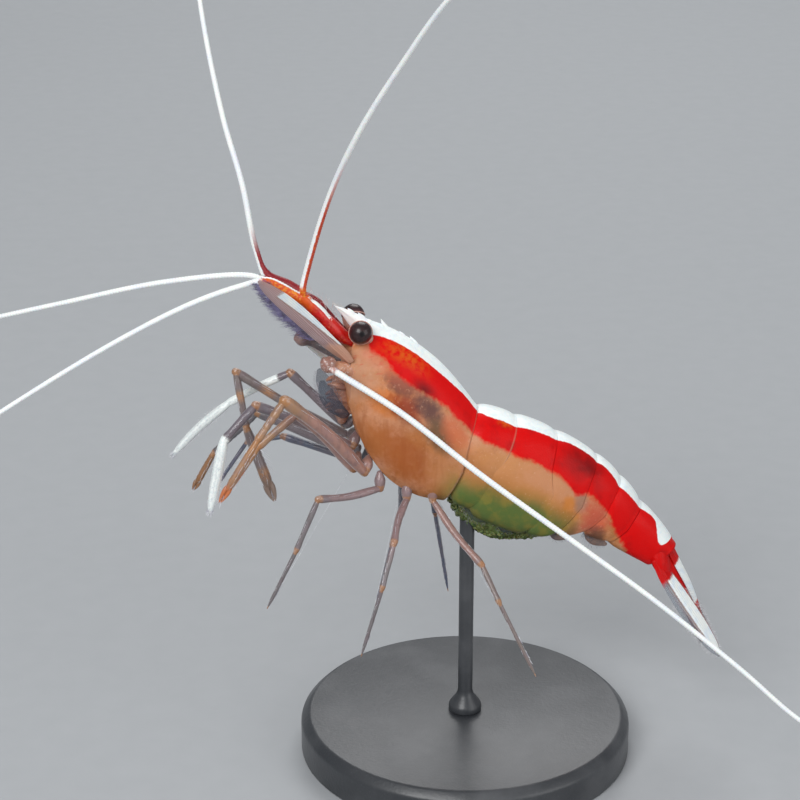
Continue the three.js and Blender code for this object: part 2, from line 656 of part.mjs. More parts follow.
/** A turned shape from its outline of [radius, height] pairs, from the axis out and back. */
function turned(outline, sides) {
  return closed(new THREE.LatheGeometry(outline.map(([r, z]) => new THREE.Vector2(r, z)), sides)
    .rotateX(Math.PI / 2));
}

const stand = new THREE.Group();
const { radius, thick, chamfer, rod, collar, collarHeight, top } = STAND;
add('stand_base', turned([
  [0, 0], [radius, 0], [radius, thick - chamfer], [radius - chamfer, thick], [0, thick],
], BASE_SIDES), FINISH.stand, stand);
const foot = thick + GAP;
const rodOutline = [
  [0, foot], [collar, foot], [collar, foot + collarHeight * 0.4], [rod, foot + collarHeight],
  [rod, top], [0, top],
];
const eggRoom = underBody({ ...EGGS, floor: EGGS.floor + ROD_PLAY }).rotateZ(Math.PI);
add('stand_rod', carve(turned(rodOutline, UNDER_SIDES), eggRoom), FINISH.stand, stand);

const model = new THREE.Group();
model.add(stand, shrimp);

export default model;
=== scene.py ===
"""The looks of the cleaner shrimp model: its meshes and finishes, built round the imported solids.

Every size is in millimetres in the animal's own frame, X towards its head, Y to its left and Z up.
TO_ROW turns that frame into the row's metres, where the head points to -X and the left side to -Y.
"""

from __future__ import annotations

import json
import logging
import random
import sys
from dataclasses import dataclass, replace
from enum import Enum
from functools import partialmethod
from math import copysign, cos, degrees, exp, hypot, pi, radians, sin, sqrt, tan
from typing import Any, Callable, Iterable, Sequence

import bmesh
import bpy
from mathutils import Matrix, Vector, noise

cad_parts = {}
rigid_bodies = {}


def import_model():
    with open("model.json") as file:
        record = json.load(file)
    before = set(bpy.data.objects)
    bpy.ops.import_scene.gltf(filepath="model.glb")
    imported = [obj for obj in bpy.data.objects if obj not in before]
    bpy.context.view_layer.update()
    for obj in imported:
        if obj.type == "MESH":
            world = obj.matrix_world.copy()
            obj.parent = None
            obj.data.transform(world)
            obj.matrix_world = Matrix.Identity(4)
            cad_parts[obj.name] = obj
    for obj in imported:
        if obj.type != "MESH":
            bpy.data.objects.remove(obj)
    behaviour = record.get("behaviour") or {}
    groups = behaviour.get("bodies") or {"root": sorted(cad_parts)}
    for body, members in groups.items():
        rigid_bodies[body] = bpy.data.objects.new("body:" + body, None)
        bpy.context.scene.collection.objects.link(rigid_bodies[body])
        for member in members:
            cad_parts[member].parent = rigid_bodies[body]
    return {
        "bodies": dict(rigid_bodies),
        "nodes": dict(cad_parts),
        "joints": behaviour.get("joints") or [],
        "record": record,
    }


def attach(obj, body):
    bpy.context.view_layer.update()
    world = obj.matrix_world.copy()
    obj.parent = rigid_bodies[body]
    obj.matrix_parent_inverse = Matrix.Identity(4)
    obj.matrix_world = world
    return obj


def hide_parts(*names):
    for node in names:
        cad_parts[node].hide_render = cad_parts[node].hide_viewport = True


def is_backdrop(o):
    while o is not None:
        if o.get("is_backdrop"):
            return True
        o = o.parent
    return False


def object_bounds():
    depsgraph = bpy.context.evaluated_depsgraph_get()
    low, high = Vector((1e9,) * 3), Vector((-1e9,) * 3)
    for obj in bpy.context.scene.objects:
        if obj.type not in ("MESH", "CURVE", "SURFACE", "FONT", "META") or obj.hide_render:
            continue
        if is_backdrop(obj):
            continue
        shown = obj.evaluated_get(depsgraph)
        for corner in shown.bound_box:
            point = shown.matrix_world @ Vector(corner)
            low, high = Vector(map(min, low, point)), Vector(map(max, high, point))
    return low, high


log = logging.getLogger("cleaner_shrimp")

MM = 0.001  # a millimetre in the row's metres
TO_ROW = Matrix.Diagonal((-MM, -MM, MM, 1.0))
MERGE = 1e-4  # corners nearer than this many mm become one
FULL_TURN = 2 * pi
EDGES = (pi / 2, -pi / 2)  # the turns round a blade at which its two edges lie
FINE = 24  # steps between two points of a course, before it is evenly spaced
MIX_SHARE, MIX_FIRST, MIX_SECOND, MIX_RESULT = 0, 6, 7, 2  # the Mix node's sockets for colours

Triple = tuple[float, float, float]
Colour = Triple
Material = bpy.types.Material
Place = Callable[[float, float], "Spot"]
Read = Callable[[float, float], Triple]
Row = tuple[float, float, float, float]

WHITE: Colour = (0.92, 0.95, 0.92)
SCARLET: Colour = (0.68, 0.0, 0.0)
ORANGE: Colour = (0.68, 0.1, 0.006)
GREY: Colour = (0.13, 0.07, 0.05)


class Side(Enum):
    """The animal's left and right, as signs of its Y axis."""

    LEFT = 1
    RIGHT = -1

    @property
    def word(self) -> str:
        """The side's name as it stands in the names of nodes."""
        return self.name.lower()


class Slot(Enum):
    """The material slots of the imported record."""

    SHELL = "shell"
    BAND = "band"
    WHITE = "white"
    LIMB = "limb"
    GLASSY = "glassy"
    EYE = "eye"
    EGGS = "eggs"
    STAND = "stand"


# Numbers and curves


def mix(first: float, second: float, share: float) -> float:
    """The value at a share of the way from one number to another."""
    return first + (second - first) * share


def ease(value: float, start: float, end: float) -> float:
    """A smooth step from 0 at `start` to 1 at `end`."""
    share = min(1.0, max(0.0, (value - start) / (end - start)))
    return share * share * (3 - 2 * share)


def bell(value: float, centre: float, width: float) -> float:
    """A soft hump, 1 at its centre and nearly 0 two widths away."""
    return exp(-(((value - centre) / width) ** 2))


def between(start: Any, leave: Any, end: Any, arrive: Any, t: float) -> Any:
    """A smooth curve's number or point between two places.

    Args:
        start: The value at the first place.
        leave: Its slope there, over the whole span.
        end: The value at the second place.
        arrive: Its slope there, over the whole span.
        t: The share of the span, 0 to 1.

    Returns:
        The value.
    """
    first = (2 * t**3 - 3 * t**2 + 1) * start + (t**3 - 2 * t**2 + t) * leave
    return first + (3 * t**2 - 2 * t**3) * end + (t**3 - t**2) * arrive


@dataclass(frozen=True)
class Profile:
    """A number that runs smoothly through rows of (place, value)."""

    rows: tuple[tuple[float, float], ...]

    def __call__(self, at: float) -> float:
        """The value at a place.

        Args:
            at: The place, which may lie a little beyond the first or last row.

        Returns:
            The value of the smooth curve there.
        """
        rows = self.rows
        last = len(rows) - 1
        first = 0
        while first < last - 1 and rows[first + 1][0] < at:
            first += 1
        (start, low), (end, high) = rows[first], rows[first + 1]
        span = end - start
        leave, arrive = self._slope(first) * span, self._slope(first + 1) * span
        return between(low, leave, high, arrive, (at - start) / span)

    def _slope(self, index: int) -> float:
        """The curve's slope at one of its rows."""
        before, after = self.rows[max(index - 1, 0)], self.rows[min(index + 1, len(self.rows) - 1)]
        return (after[1] - before[1]) / (after[0] - before[0])


@dataclass(frozen=True)
class Lean:
    """A frame that leans in the animal's middle plane, X forward along it."""

    x: float
    z: float
    pitch: float

    def point(self, along: float, left: float, up: float) -> Vector:
        """A point given along, left of and above the leaning frame."""
        cosine, sine = cos(radians(self.pitch)), sin(radians(self.pitch))
        return Vector((self.x + along * cosine - up * sine, left, self.z + along * sine + up * cosine))

    def heading(self, along: float, left: float, up: float) -> Vector:
        """A direction given in the leaning frame."""
        return (self.point(along, left, up) - self.point(0, 0, 0)).normalized()


def travelled(points: Sequence[Vector]) -> list[float]:
    """The distance from the first point to each, along the line through them.

    Args:
        points: The line's points.

    Returns:
        The distances.
    """
    arcs = [0.0]
    for here, there in zip(points, points[1:]):
        arcs.append(arcs[-1] + (there - here).length)
    return arcs


@dataclass
class Spot:
    """A point of a surface with what its finish reads there.

    Attributes:
        at: The point.
        paint: Up to three numbers for the finish: mostly mm along, mm round and mm below the back.
        trim: Up to three more: mostly the distance from the free edge.
    """

    at: Vector
    paint: Triple = (0.0, 0.0, 0.0)
    trim: Triple = (9.0, 0.0, 0.0)


def section(angle: float, above: float, below: float) -> Triple:
    """A point of a squared-off section of the trunk.

    Args:
        angle: The turn from the top towards the left, in radians.
        above: The power that shapes the upper half: under 1 is boxy, over 1 peaked.
        below: The same for the lower half.

    Returns:
        Its sideways and upward shares, -1 to 1, and how far down the flank it is, 0 to 1.
    """
    power = below if cos(angle) < 0 else above

    def shaped(share: float) -> float:
        """A share raised to the power, its sign kept."""
        return copysign(abs(share) ** power, share)

    return shaped(sin(angle)), shaped(cos(angle)), sin(angle / 2) ** 2


# Shapes shared with the solids


@dataclass(frozen=True)
class CarapaceShape:
    """The carapace's rounded body, as the solid has it."""

    base: Lean = Lean(-0.83, 37.85, 42)  # at the top of the rear edge
    rear_lean: float = 16.0  # degrees that the rear edge leans
    rear_sweep: float = -0.7  # how far the rear edge sweeps on the flanks
    front: float = 14.4  # the place of the front edge
    waist: float = 0.56  # the share of the depth where it is widest
    crest: Profile = Profile(  # the top's height along it
        ((0, 0), (2, 0.5), (4.5, 0.85), (7.5, 0.95), (10, 0.8), (12.2, 0.4), (14.4, -0.35))
    )
    keel: Profile = Profile(  # the underside's height along it
        ((0, -9.4), (2, -10.7), (4.5, -11.1), (7.5, -10.0), (10, -8.3), (12.2, -6.5), (14.4, -4.4))
    )
    half: Profile = Profile(  # half of its width along it
        ((0, 3.75), (2, 4.0), (4.5, 4.2), (7.5, 4.1), (10, 3.5), (12.2, 2.7), (14.4, 1.75))
    )

    def point(self, at: float, angle: float, grown: float = 0.0) -> tuple[Vector, float]:
        """A point of the carapace.

        Args:
            at: Millimetres forward of its rear edge.
            angle: The turn from the back towards the left, in radians.
            grown: How far outside the solid it lies.

        Returns:
            The point, and its depth below the crest in mm.
        """
        crest, keel = self.crest(at) + grown, self.keel(at) - grown
        waist = mix(crest, keel, self.waist)
        out, up, flank = section(angle, 1.05, 0.75)
        height = mix(waist, crest, up) if up > 0 else mix(waist, keel, -up)
        lobe = height * tan(radians(self.rear_lean))
        lobe += self.rear_sweep * min(1.0, 2 * flank) ** 2
        reach = at + lobe * max(0.0, 1 - at / self.front) ** 2
        return self.base.point(reach, (self.half(at) + grown) * out, height), crest - height


@dataclass(frozen=True)
class Joint:
    """A joint of the abdomen: the middle of the back there, its lean, and its section."""

    x: float  # the middle of the back, with z
    z: float
    pitch: float  # degrees that the way forward rises
    depth: float  # from back to belly
    half: float  # half of the width
    sweep: float  # how far the flanks stand forward

    def toward(self, other: Joint, share: float) -> Joint:
        """The joint at a share of the way to another."""
        names = self.__dataclass_fields__
        return Joint(*(mix(getattr(self, name), getattr(other, name), share) for name in names))


@dataclass(frozen=True)
class AbdomenShape:
    """The abdomen's seven joints from the carapace to the tail fan, as the solids have them."""

    joints: tuple[Joint, ...] = (
        Joint(-0.83, 37.75, 26, 9.0, 3.6, -0.7), Joint(-4.4, 36.6, 20, 9.5, 3.65, 0.8),
        Joint(-8.5, 34.8, 28, 9.6, 3.6, -1.3), Joint(-12.7, 32.1, 38, 8.4, 3.3, -1.0),
        Joint(-15.2, 29.7, 48, 6.6, 2.8, -0.9), Joint(-17.3, 27.0, 52, 5.2, 2.3, -0.6),
        Joint(-21.0, 22.3, 60, 3.6, 1.7, 0.0),
    )
    waist: float = 0.52  # the share of the depth where it is widest

    def at(self, count: float) -> Joint:
        """The place at a count of joints from the front, such as 2.5 in the middle of a ring."""
        first = min(max(int(count), 0), len(self.joints) - 2)
        return self.joints[first].toward(self.joints[first + 1], count - first)

    def point(
        self, count: float, angle: float, grown: float = 0.0, swell: float = 0.0, slide: float = 0.0
    ) -> tuple[Vector, float]:
        """A point of the abdomen's side.

        Args:
            count: The place along it, in joints.
            angle: The turn from the back towards the left, in radians.
            grown: How far outside the solid it lies.
            swell: The rise of a ring between its joints.
            slide: A shift forward along the body, in mm.

        Returns:
            The point, and its depth below the back in mm.
        """
        joint = self.at(count)
        out, up, flank = section(angle, 0.95, 0.55)
        top, bottom = swell + grown, -joint.depth - grown
        waist = -self.waist * joint.depth
        height = mix(waist, top, up) if up > 0 else mix(waist, bottom, -up)
        reach = joint.sweep * min(1.0, 2 * flank) ** 2 + slide
        lean = Lean(joint.x, joint.z, joint.pitch)
        return lean.point(reach, (joint.half + swell * 0.6 + grown) * out, height), top - height

    def length(self, count: float) -> float:
        """Millimetres along the back from the first joint to a count of joints.

        Args:
            count: The place, in joints.

        Returns:
            The distance.
        """
        total = 0.0
        for index in range(len(self.joints) - 1):
            here, there = self.joints[index], self.joints[index + 1]
            share = min(1.0, max(0.0, count - index))
            total += share * hypot(there.x - here.x, there.z - here.z)
        return total


class Girth:
    """Distances round a body from the middle of its back, worked out once for each place."""

    STEPS = 60

    def __init__(self, point: Callable[[float, float], tuple[Vector, float]], grain: float) -> None:
        """Takes the surface to measure.

        Args:
            point: The surface at a place and an angle.
            grain: The step between the places that are kept.
        """
        self.point = point
        self.grain = grain
        self.rows: dict[int, list[float]] = {}

    def __call__(self, place: float, angle: float) -> float:
        """Millimetres round the surface at a place, from the back to an angle.

        Args:
            place: How far along the body.
            angle: The turn from the back, in radians.

        Returns:
            The distance.
        """
        key = round(place / self.grain)
        if key not in self.rows:
            turns = (pi * step / self.STEPS for step in range(self.STEPS + 1))
            self.rows[key] = travelled([self.point(key * self.grain, turn)[0] for turn in turns])
        steps = abs(angle) / pi * self.STEPS
        low = min(int(steps), self.STEPS - 1)
        return mix(self.rows[key][low], self.rows[key][low + 1], steps - low)


CARAPACE = CarapaceShape()
ABDOMEN = AbdomenShape()
CARAPACE_GIRTH = Girth(CARAPACE.point, 0.1)
ABDOMEN_GIRTH = Girth(ABDOMEN.point, 0.05)
HEAD = CARAPACE.base
FAN = Lean(-21.0, 22.3, 67)


# Courses: smooth centre lines with a section that changes along them


def through(points: Sequence[Vector], steps: int) -> list[Vector]:
    """Evenly spaced points on the smooth curve through a few.

    Args:
        points: What the curve passes, from end to end.
        steps: How many equal steps to take along it.

    Returns:
        The points, one more than the steps.
    """
    ends = [points[0] * 2 - points[1], *points, points[-1] * 2 - points[-2]]
    fine: list[Vector] = []
    for before, start, end, after in zip(ends, ends[1:], ends[2:], ends[3:]):
        pairs = ((before, start), (start, end), (end, after))
        last, here, coming = (max((b - a).length, 1e-6) ** 0.5 for a, b in pairs)
        step = (end - start) / here
        lead = (start - before) / last - (end - before) / (last + here) + step
        trail = step - (after - start) / (here + coming) + (after - end) / coming
        lead, trail = lead * here, trail * here
        fine += [between(start, lead, end, trail, index / FINE) for index in range(FINE)]
    fine.append(points[-1].copy())
    lengths = travelled(fine)
    spaced, index = [], 0
    for step in range(steps + 1):
        goal = lengths[-1] * step / steps
        while index < len(fine) - 2 and lengths[index + 1] < goal:
            index += 1
        span = max(lengths[index + 1] - lengths[index], 1e-9)
        spaced.append(fine[index].lerp(fine[index + 1], (goal - lengths[index]) / span))
    return spaced


def laid_out(rows: Sequence[Row], frame: Lean, side: float) -> tuple[list[Vector], Profile]:
    """Reads a course's rows on one side of the animal.

    Args:
        rows: Places along, out from the middle and up in the frame, with half widths.
        frame: The leaning frame.
        side: The side's sign.

    Returns:
        The points, and the half width over the share of the length.
    """
    points = [frame.point(along, side * out, up) for along, out, up, _ in rows]
    spans = travelled(points)
    return points, Profile(tuple((span / spans[-1], row[3]) for span, row in zip(spans, rows)))


class Course:
    """A centre line with a width and depth at each place and a steady sense of up."""

    def __init__(
        self, points: Sequence[Vector], wide: Callable[[float], float],
        deep: Callable[[float], float] | None = None, across: Vector = Vector((0, 1, 0)),
        steps: int = 96,
    ) -> None:
        """Lays the line.

        Args:
            points: What it passes, from its root to its tip.
            wide: Half its width at a share of its length.
            deep: Half its depth, or None for as deep as wide.
            across: The direction its width is measured in, as nearly as the line allows.
            steps: How finely the line is kept.
        """
        self.line = through(points, steps)
        self.wide = wide
        self.deep = deep or wide
        self.length = sum((b - a).length for a, b in zip(self.line, self.line[1:]))
        self.frames: list[tuple[Vector, Vector, Vector]] = []
        sideways = across.copy()
        for index in range(steps + 1):
            ahead = self.line[min(index + 1, steps)] - self.line[max(index - 1, 0)]
            ahead.normalize()
            up = ahead.cross(sideways).normalized()
            sideways = up.cross(ahead).normalized()
            self.frames.append((ahead, sideways.copy(), up))

    def centre(self, share: float) -> tuple[Vector, Vector, Vector, Vector]:
        """The middle of the course, with its way ahead, across and up.

        Args:
            share: How far along, 0 to 1.

        Returns:
            The point and the three directions.
        """
        place = min(1.0, max(0.0, share)) * (len(self.line) - 1)
        low = min(int(place), len(self.line) - 2)
        part = place - low
        point = self.line[low].lerp(self.line[low + 1], part)
        ahead, across, up = (
            here.lerp(there, part).normalized()
            for here, there in zip(self.frames[low], self.frames[low + 1])
        )
        return point, ahead, across, up

    def surface(self, share: float, angle: float, grown: float = 0.0, lens: float = 0.0) -> Vector:
        """A point of the round or lens-shaped surface.

        Args:
            share: How far along, 0 to 1.
            angle: The turn from its upper side, in radians.
            grown: How far outside its section.
            lens: How thin its edges are: 0 for round, up to 1 for sharp.

        Returns:
            The point.
        """
        point, _, across, up = self.centre(share)
        wide, deep = self.wide(share) + grown, self.deep(share) + grown
        thin = 1 - lens * sin(angle) ** 2
        return point + across * (wide * sin(angle)) + up * (deep * cos(angle) * thin)

    def way_out(self, share: float, angle: float) -> Vector:
        """The direction straight out from the line."""
        _, _, across, up = self.centre(share)
        return (across * sin(angle) + up * cos(angle)).normalized()


# Meshes


def make_piece(name: str, bm: bmesh.types.BMesh, finish: Material, slot: Slot) -> bpy.types.Object:
    """Turns a mesh in the making into a finished object in the row's metres.

    Args:
        name: The piece's name.
        bm: The mesh in millimetres, used up here.
        finish: Its material.
        slot: The record's slot; not used.

    Returns:
        The object.
    """
    bm.transform(TO_ROW)
    mesh = bpy.data.meshes.new(name)
    bm.to_mesh(mesh)
    bm.free()
    piece = bpy.data.objects.new(name, mesh)
    bpy.context.scene.collection.objects.link(piece)
    mesh.materials.append(finish)
    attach(piece, "root")
    return piece


class Workpiece:
    """A mesh in the making, with the layers that the finishes read."""

    def __init__(self, name: str) -> None:
        """Starts an empty mesh with the name of the piece it will be."""
        self.name = name
        self.bm = bmesh.new()
        self.paint = self.bm.verts.layers.float_vector.new("Paint")
        self.trim = self.bm.verts.layers.float_vector.new("Trim")
        self.uv = self.bm.loops.layers.uv.new("Course")

    def skin(self, across: int, along: int, place: Place) -> list[bmesh.types.BMVert]:
        """Bends a sheet of squares to a surface. Edges that meet are joined.

        Args:
            across: How many squares the sheet has in its first direction.
            along: How many it has in its second.
            place: The spot of the surface for shares 0 to 1 in each direction.

        Returns:
            The sheet's corners.
        """
        made = bmesh.ops.create_grid(
            self.bm, x_segments=across, y_segments=along, size=0.5, calc_uvs=True
        )["verts"]
        for vert in made:
            u = round((vert.co.x + 0.5) * across) / across
            v = round((vert.co.y + 0.5) * along) / along
            spot = place(u, v)
            vert.co = spot.at
            vert[self.paint] = spot.paint
            vert[self.trim] = spot.trim
        joined = bmesh.ops.find_doubles(self.bm, verts=made, dist=MERGE)["targetmap"]
        kept = [vert for vert in made if vert not in joined]
        bmesh.ops.weld_verts(self.bm, targetmap=joined)
        return kept

    def tube(
        self, course: Course, across: int, along: int, paint: Read | None = None, lens: float = 0.0,
        caps: tuple[float, float] = (0.6, 0.6),
        relief: Callable[[float, float], float] | None = None,
    ) -> list[bmesh.types.BMVert]:
        """Lays a closed skin over a course, with rounded ends.

        Args:
            course: The centre line and its section.
            across: How many squares go round it.
            along: How many go along it, the ends among them.
            paint: What the finish reads at (mm along, angle), or None for mm along, sine, cosine.
            lens: How thin the edges are, from 0, round, to 1, sharp.
            caps: How far each end bulges, as a share of its half width.
            relief: How far the surface stands out at (share, angle).

        Returns:
            The skin's corners.
        """
        rows = 3
        body = along - 2 * rows

        def place(u: float, v: float) -> Spot:
            """The skin's spot at shares round it and along."""
            step, angle = v * along, FULL_TURN * u
            share = min(1.0, max(0.0, (step - rows) / body))
            past = max(0.0, rows - step, step - rows - body) / rows * pi / 2
            near_end = step > rows
            point, ahead, _, _ = course.centre(share)
            grown = relief(share, angle) if relief else 0.0
            edge = course.surface(share, angle, grown, lens)
            bulge = caps[near_end] * course.wide(share) * sin(past) * (1 if near_end else -1)
            at = point + ahead * bulge + (edge - point) * cos(past)
            mm = share * course.length
            colours = paint(mm, angle) if paint else (mm, sin(angle), cos(angle))
            return Spot(at, colours)

        return self.skin(across, along, place)

    def face_out(self) -> None:
        """Turns every face outwards."""
        bmesh.ops.recalc_face_normals(self.bm, faces=self.bm.faces)

    def shell(self, thick: float) -> None:
        """Gives an open sheet a wall, grown inwards."""
        self.face_out()
        bmesh.ops.solidify(self.bm, geom=self.bm.faces[:], thickness=thick)

    def done(
        self, finish: Material, slot: Slot, nodes: Iterable[str] = (), turn_out: bool = True
    ) -> bpy.types.Object:
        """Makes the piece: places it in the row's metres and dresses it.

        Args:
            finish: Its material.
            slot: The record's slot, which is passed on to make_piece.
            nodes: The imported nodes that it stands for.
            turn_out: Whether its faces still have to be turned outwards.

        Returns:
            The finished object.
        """
        if turn_out:
            self.face_out()
        for face in self.bm.faces:
            face.smooth = True
        piece = make_piece(self.name, self.bm, finish, slot)
        names = list(nodes)
        if names:
            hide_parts(*names)
        faces = len(piece.data.polygons)
        log.info("%s: %d faces, for %s", piece.name, faces, ", ".join(names) or "no node")
        return piece


def multiply(bm: bmesh.types.BMesh, count: int) -> list[list[bmesh.types.BMVert]]:
    """Fills a mesh with copies of the one small shape in it.

    Args:
        bm: The mesh, which holds one copy.
        count: How many it ends with.

    Returns:
        The corners of each copy.
    """
    size = len(bm.verts)
    while len(bm.verts) < size * count:
        bmesh.ops.duplicate(bm, geom=bm.verts[:] + bm.edges[:] + bm.faces[:])
    bmesh.ops.delete(bm, geom=bm.verts[size * count:], context="VERTS")
    verts = bm.verts[:]
    return [verts[start:start + size] for start in range(0, size * count, size)]


@dataclass
class Hair:
    """One hair: where it grows, the way it leaves, how it bends, and its size in mm."""

    root: Vector
    way: Vector
    bend: Vector
    long: float
    thick: float
    skin: tuple[float, float]


class Brush:
    """A piece of many fine hairs, each a thin closed cone of its own."""

    SIDES = 3
    SWELL = ((0.0, 0.0), (0.3, 1.0), (0.7, 0.62), (1.0, 0.0))
    PATCH = 0.003

    def __init__(self, name: str) -> None:
        """Starts an empty brush with the name of the piece it will be."""
        self.name = name
        self.hairs: list[Hair] = []

    def add(
        self, root: Vector, way: Vector, long: float, skin: tuple[float, float],
        thick: float = 0.03, bend: Vector = Vector((0, 0, 0)),
    ) -> None:
        """Plants one hair.

        Args:
            root: Where it grows.
            way: The direction it leaves in.
            long: Its length.
            skin: Its root's place on the unwrapped skin, 0 to 1 each way.
            thick: Its thickness.
            bend: How far its tip is carried off, as a share of its length.
        """
        self.hairs.append(Hair(root, way.normalized(), bend, long, thick, skin))

    def _template(self) -> bmesh.types.BMesh:
        """One hair as rings between two poles, and enough copies of it for the whole brush.

        Returns:
            The mesh.
        """
        bm = bmesh.new()
        rows = len(self.SWELL) - 1
        verts = bmesh.ops.create_grid(bm, x_segments=self.SIDES, y_segments=rows, size=0.5)["verts"]
        for vert in verts:
            column, row = round((vert.co.x + 0.5) * self.SIDES), round((vert.co.y + 0.5) * rows)
            turn = FULL_TURN * (column % self.SIDES) / self.SIDES
            share, swell = self.SWELL[row]
            vert.co = (swell * cos(turn), swell * sin(turn), share)
        bmesh.ops.remove_doubles(bm, verts=bm.verts, dist=MERGE)
        bmesh.ops.recalc_face_normals(bm, faces=bm.faces)
        multiply(bm, len(self.hairs))
        return bm

    def done(self, finish: Material, slot: Slot) -> bpy.types.Object:
        """Makes the piece, its hairs mapped as small patches at their roots' places on the skin.

        Args:
            finish: Its material.
            slot: The record's slot.

        Returns:
            The finished object.
        """
        bm = self._template()
        size = len(bm.verts) // len(self.hairs)
        bm.verts.ensure_lookup_table()
        for index, hair in enumerate(self.hairs):
            side = hair.way.orthogonal().normalized()
            cross = hair.way.cross(side)
            for vert in bm.verts[index * size:(index + 1) * size]:
                out, over, share = vert.co
                centre = hair.root + (hair.way * share + hair.bend * share**2) * hair.long
                vert.co = centre + (side * out + cross * over) * (hair.thick / 2)
        bm.verts.index_update()
        layer = bm.loops.layers.uv.new("OFBake")
        for face in bm.faces:
            u, v = self.hairs[face.verts[0].index // size].skin
            for loop in face.loops:
                corner = loop.vert.index % size
                loop[layer].uv = (u + self.PATCH * (corner % 3) / 3, v + self.PATCH * (corner // 3) / 3)
        piece = make_piece(self.name, bm, finish, slot)
        log.info("%s: %d hairs", piece.name, len(self.hairs))
        return piece


# Finishes


class Signal:
    """A number that runs through a material's nodes. Arithmetic on it adds the nodes."""

    def __init__(self, recipe: Recipe, socket: bpy.types.NodeSocket) -> None:
        """Wraps a socket of a recipe's node."""
        self.recipe = recipe
        self.socket = socket

    def _with(self, operation: str, other: Signal | float, swap: bool = False) -> Signal:
        """Another signal, made from this and a second by a Math node.

        Args:
            operation: The node's operation.
            other: The second signal, or a number.
            swap: Whether the second comes first.

        Returns:
            The result.
        """
        node = self.recipe.node("ShaderNodeMath", operation=operation)
        first, second = (other, self) if swap else (self, other)
        self.recipe.feed(node.inputs[0], first)
        self.recipe.feed(node.inputs[1], second)
        return Signal(self.recipe, node.outputs[0])

    __add__ = partialmethod(_with, "ADD")
    __sub__ = partialmethod(_with, "SUBTRACT")
    __rsub__ = partialmethod(_with, "SUBTRACT", swap=True)
    __mul__ = partialmethod(_with, "MULTIPLY")
    __abs__ = partialmethod(_with, "ABSOLUTE", 0.0)
    power = partialmethod(_with, "POWER")
    larger = partialmethod(_with, "MAXIMUM")

    def wave(self, pitch: float) -> Signal:
        """A wave from -1 to 1 that repeats every `pitch`."""
        return (self * (FULL_TURN / pitch))._with("SINE", 0.0)

    def rise(self, start: Signal | float, end: Signal | float) -> Signal:
        """A smooth step.

        Args:
            start: Where it leaves 0.
            end: Where it reaches 1.

        Returns:
            The step, 0 to 1.
        """
        node = self.recipe.node("ShaderNodeMapRange", interpolation_type="SMOOTHSTEP")
        self.recipe.feed(node.inputs["Value"], self)
        self.recipe.feed(node.inputs["From Min"], start)
        self.recipe.feed(node.inputs["From Max"], end)
        return Signal(self.recipe, node.outputs["Result"])

    def fall(self, start: Signal | float, end: Signal | float) -> Signal:
        """A smooth step from 1 at `start` to 0 at `end`."""
        return 1.0 - self.rise(start, end)

    def hump(self, centre: float, width: float) -> Signal:
        """A soft hump, 1 at its centre and 0 from one width away."""
        return abs(self - centre).fall(0.0, width)


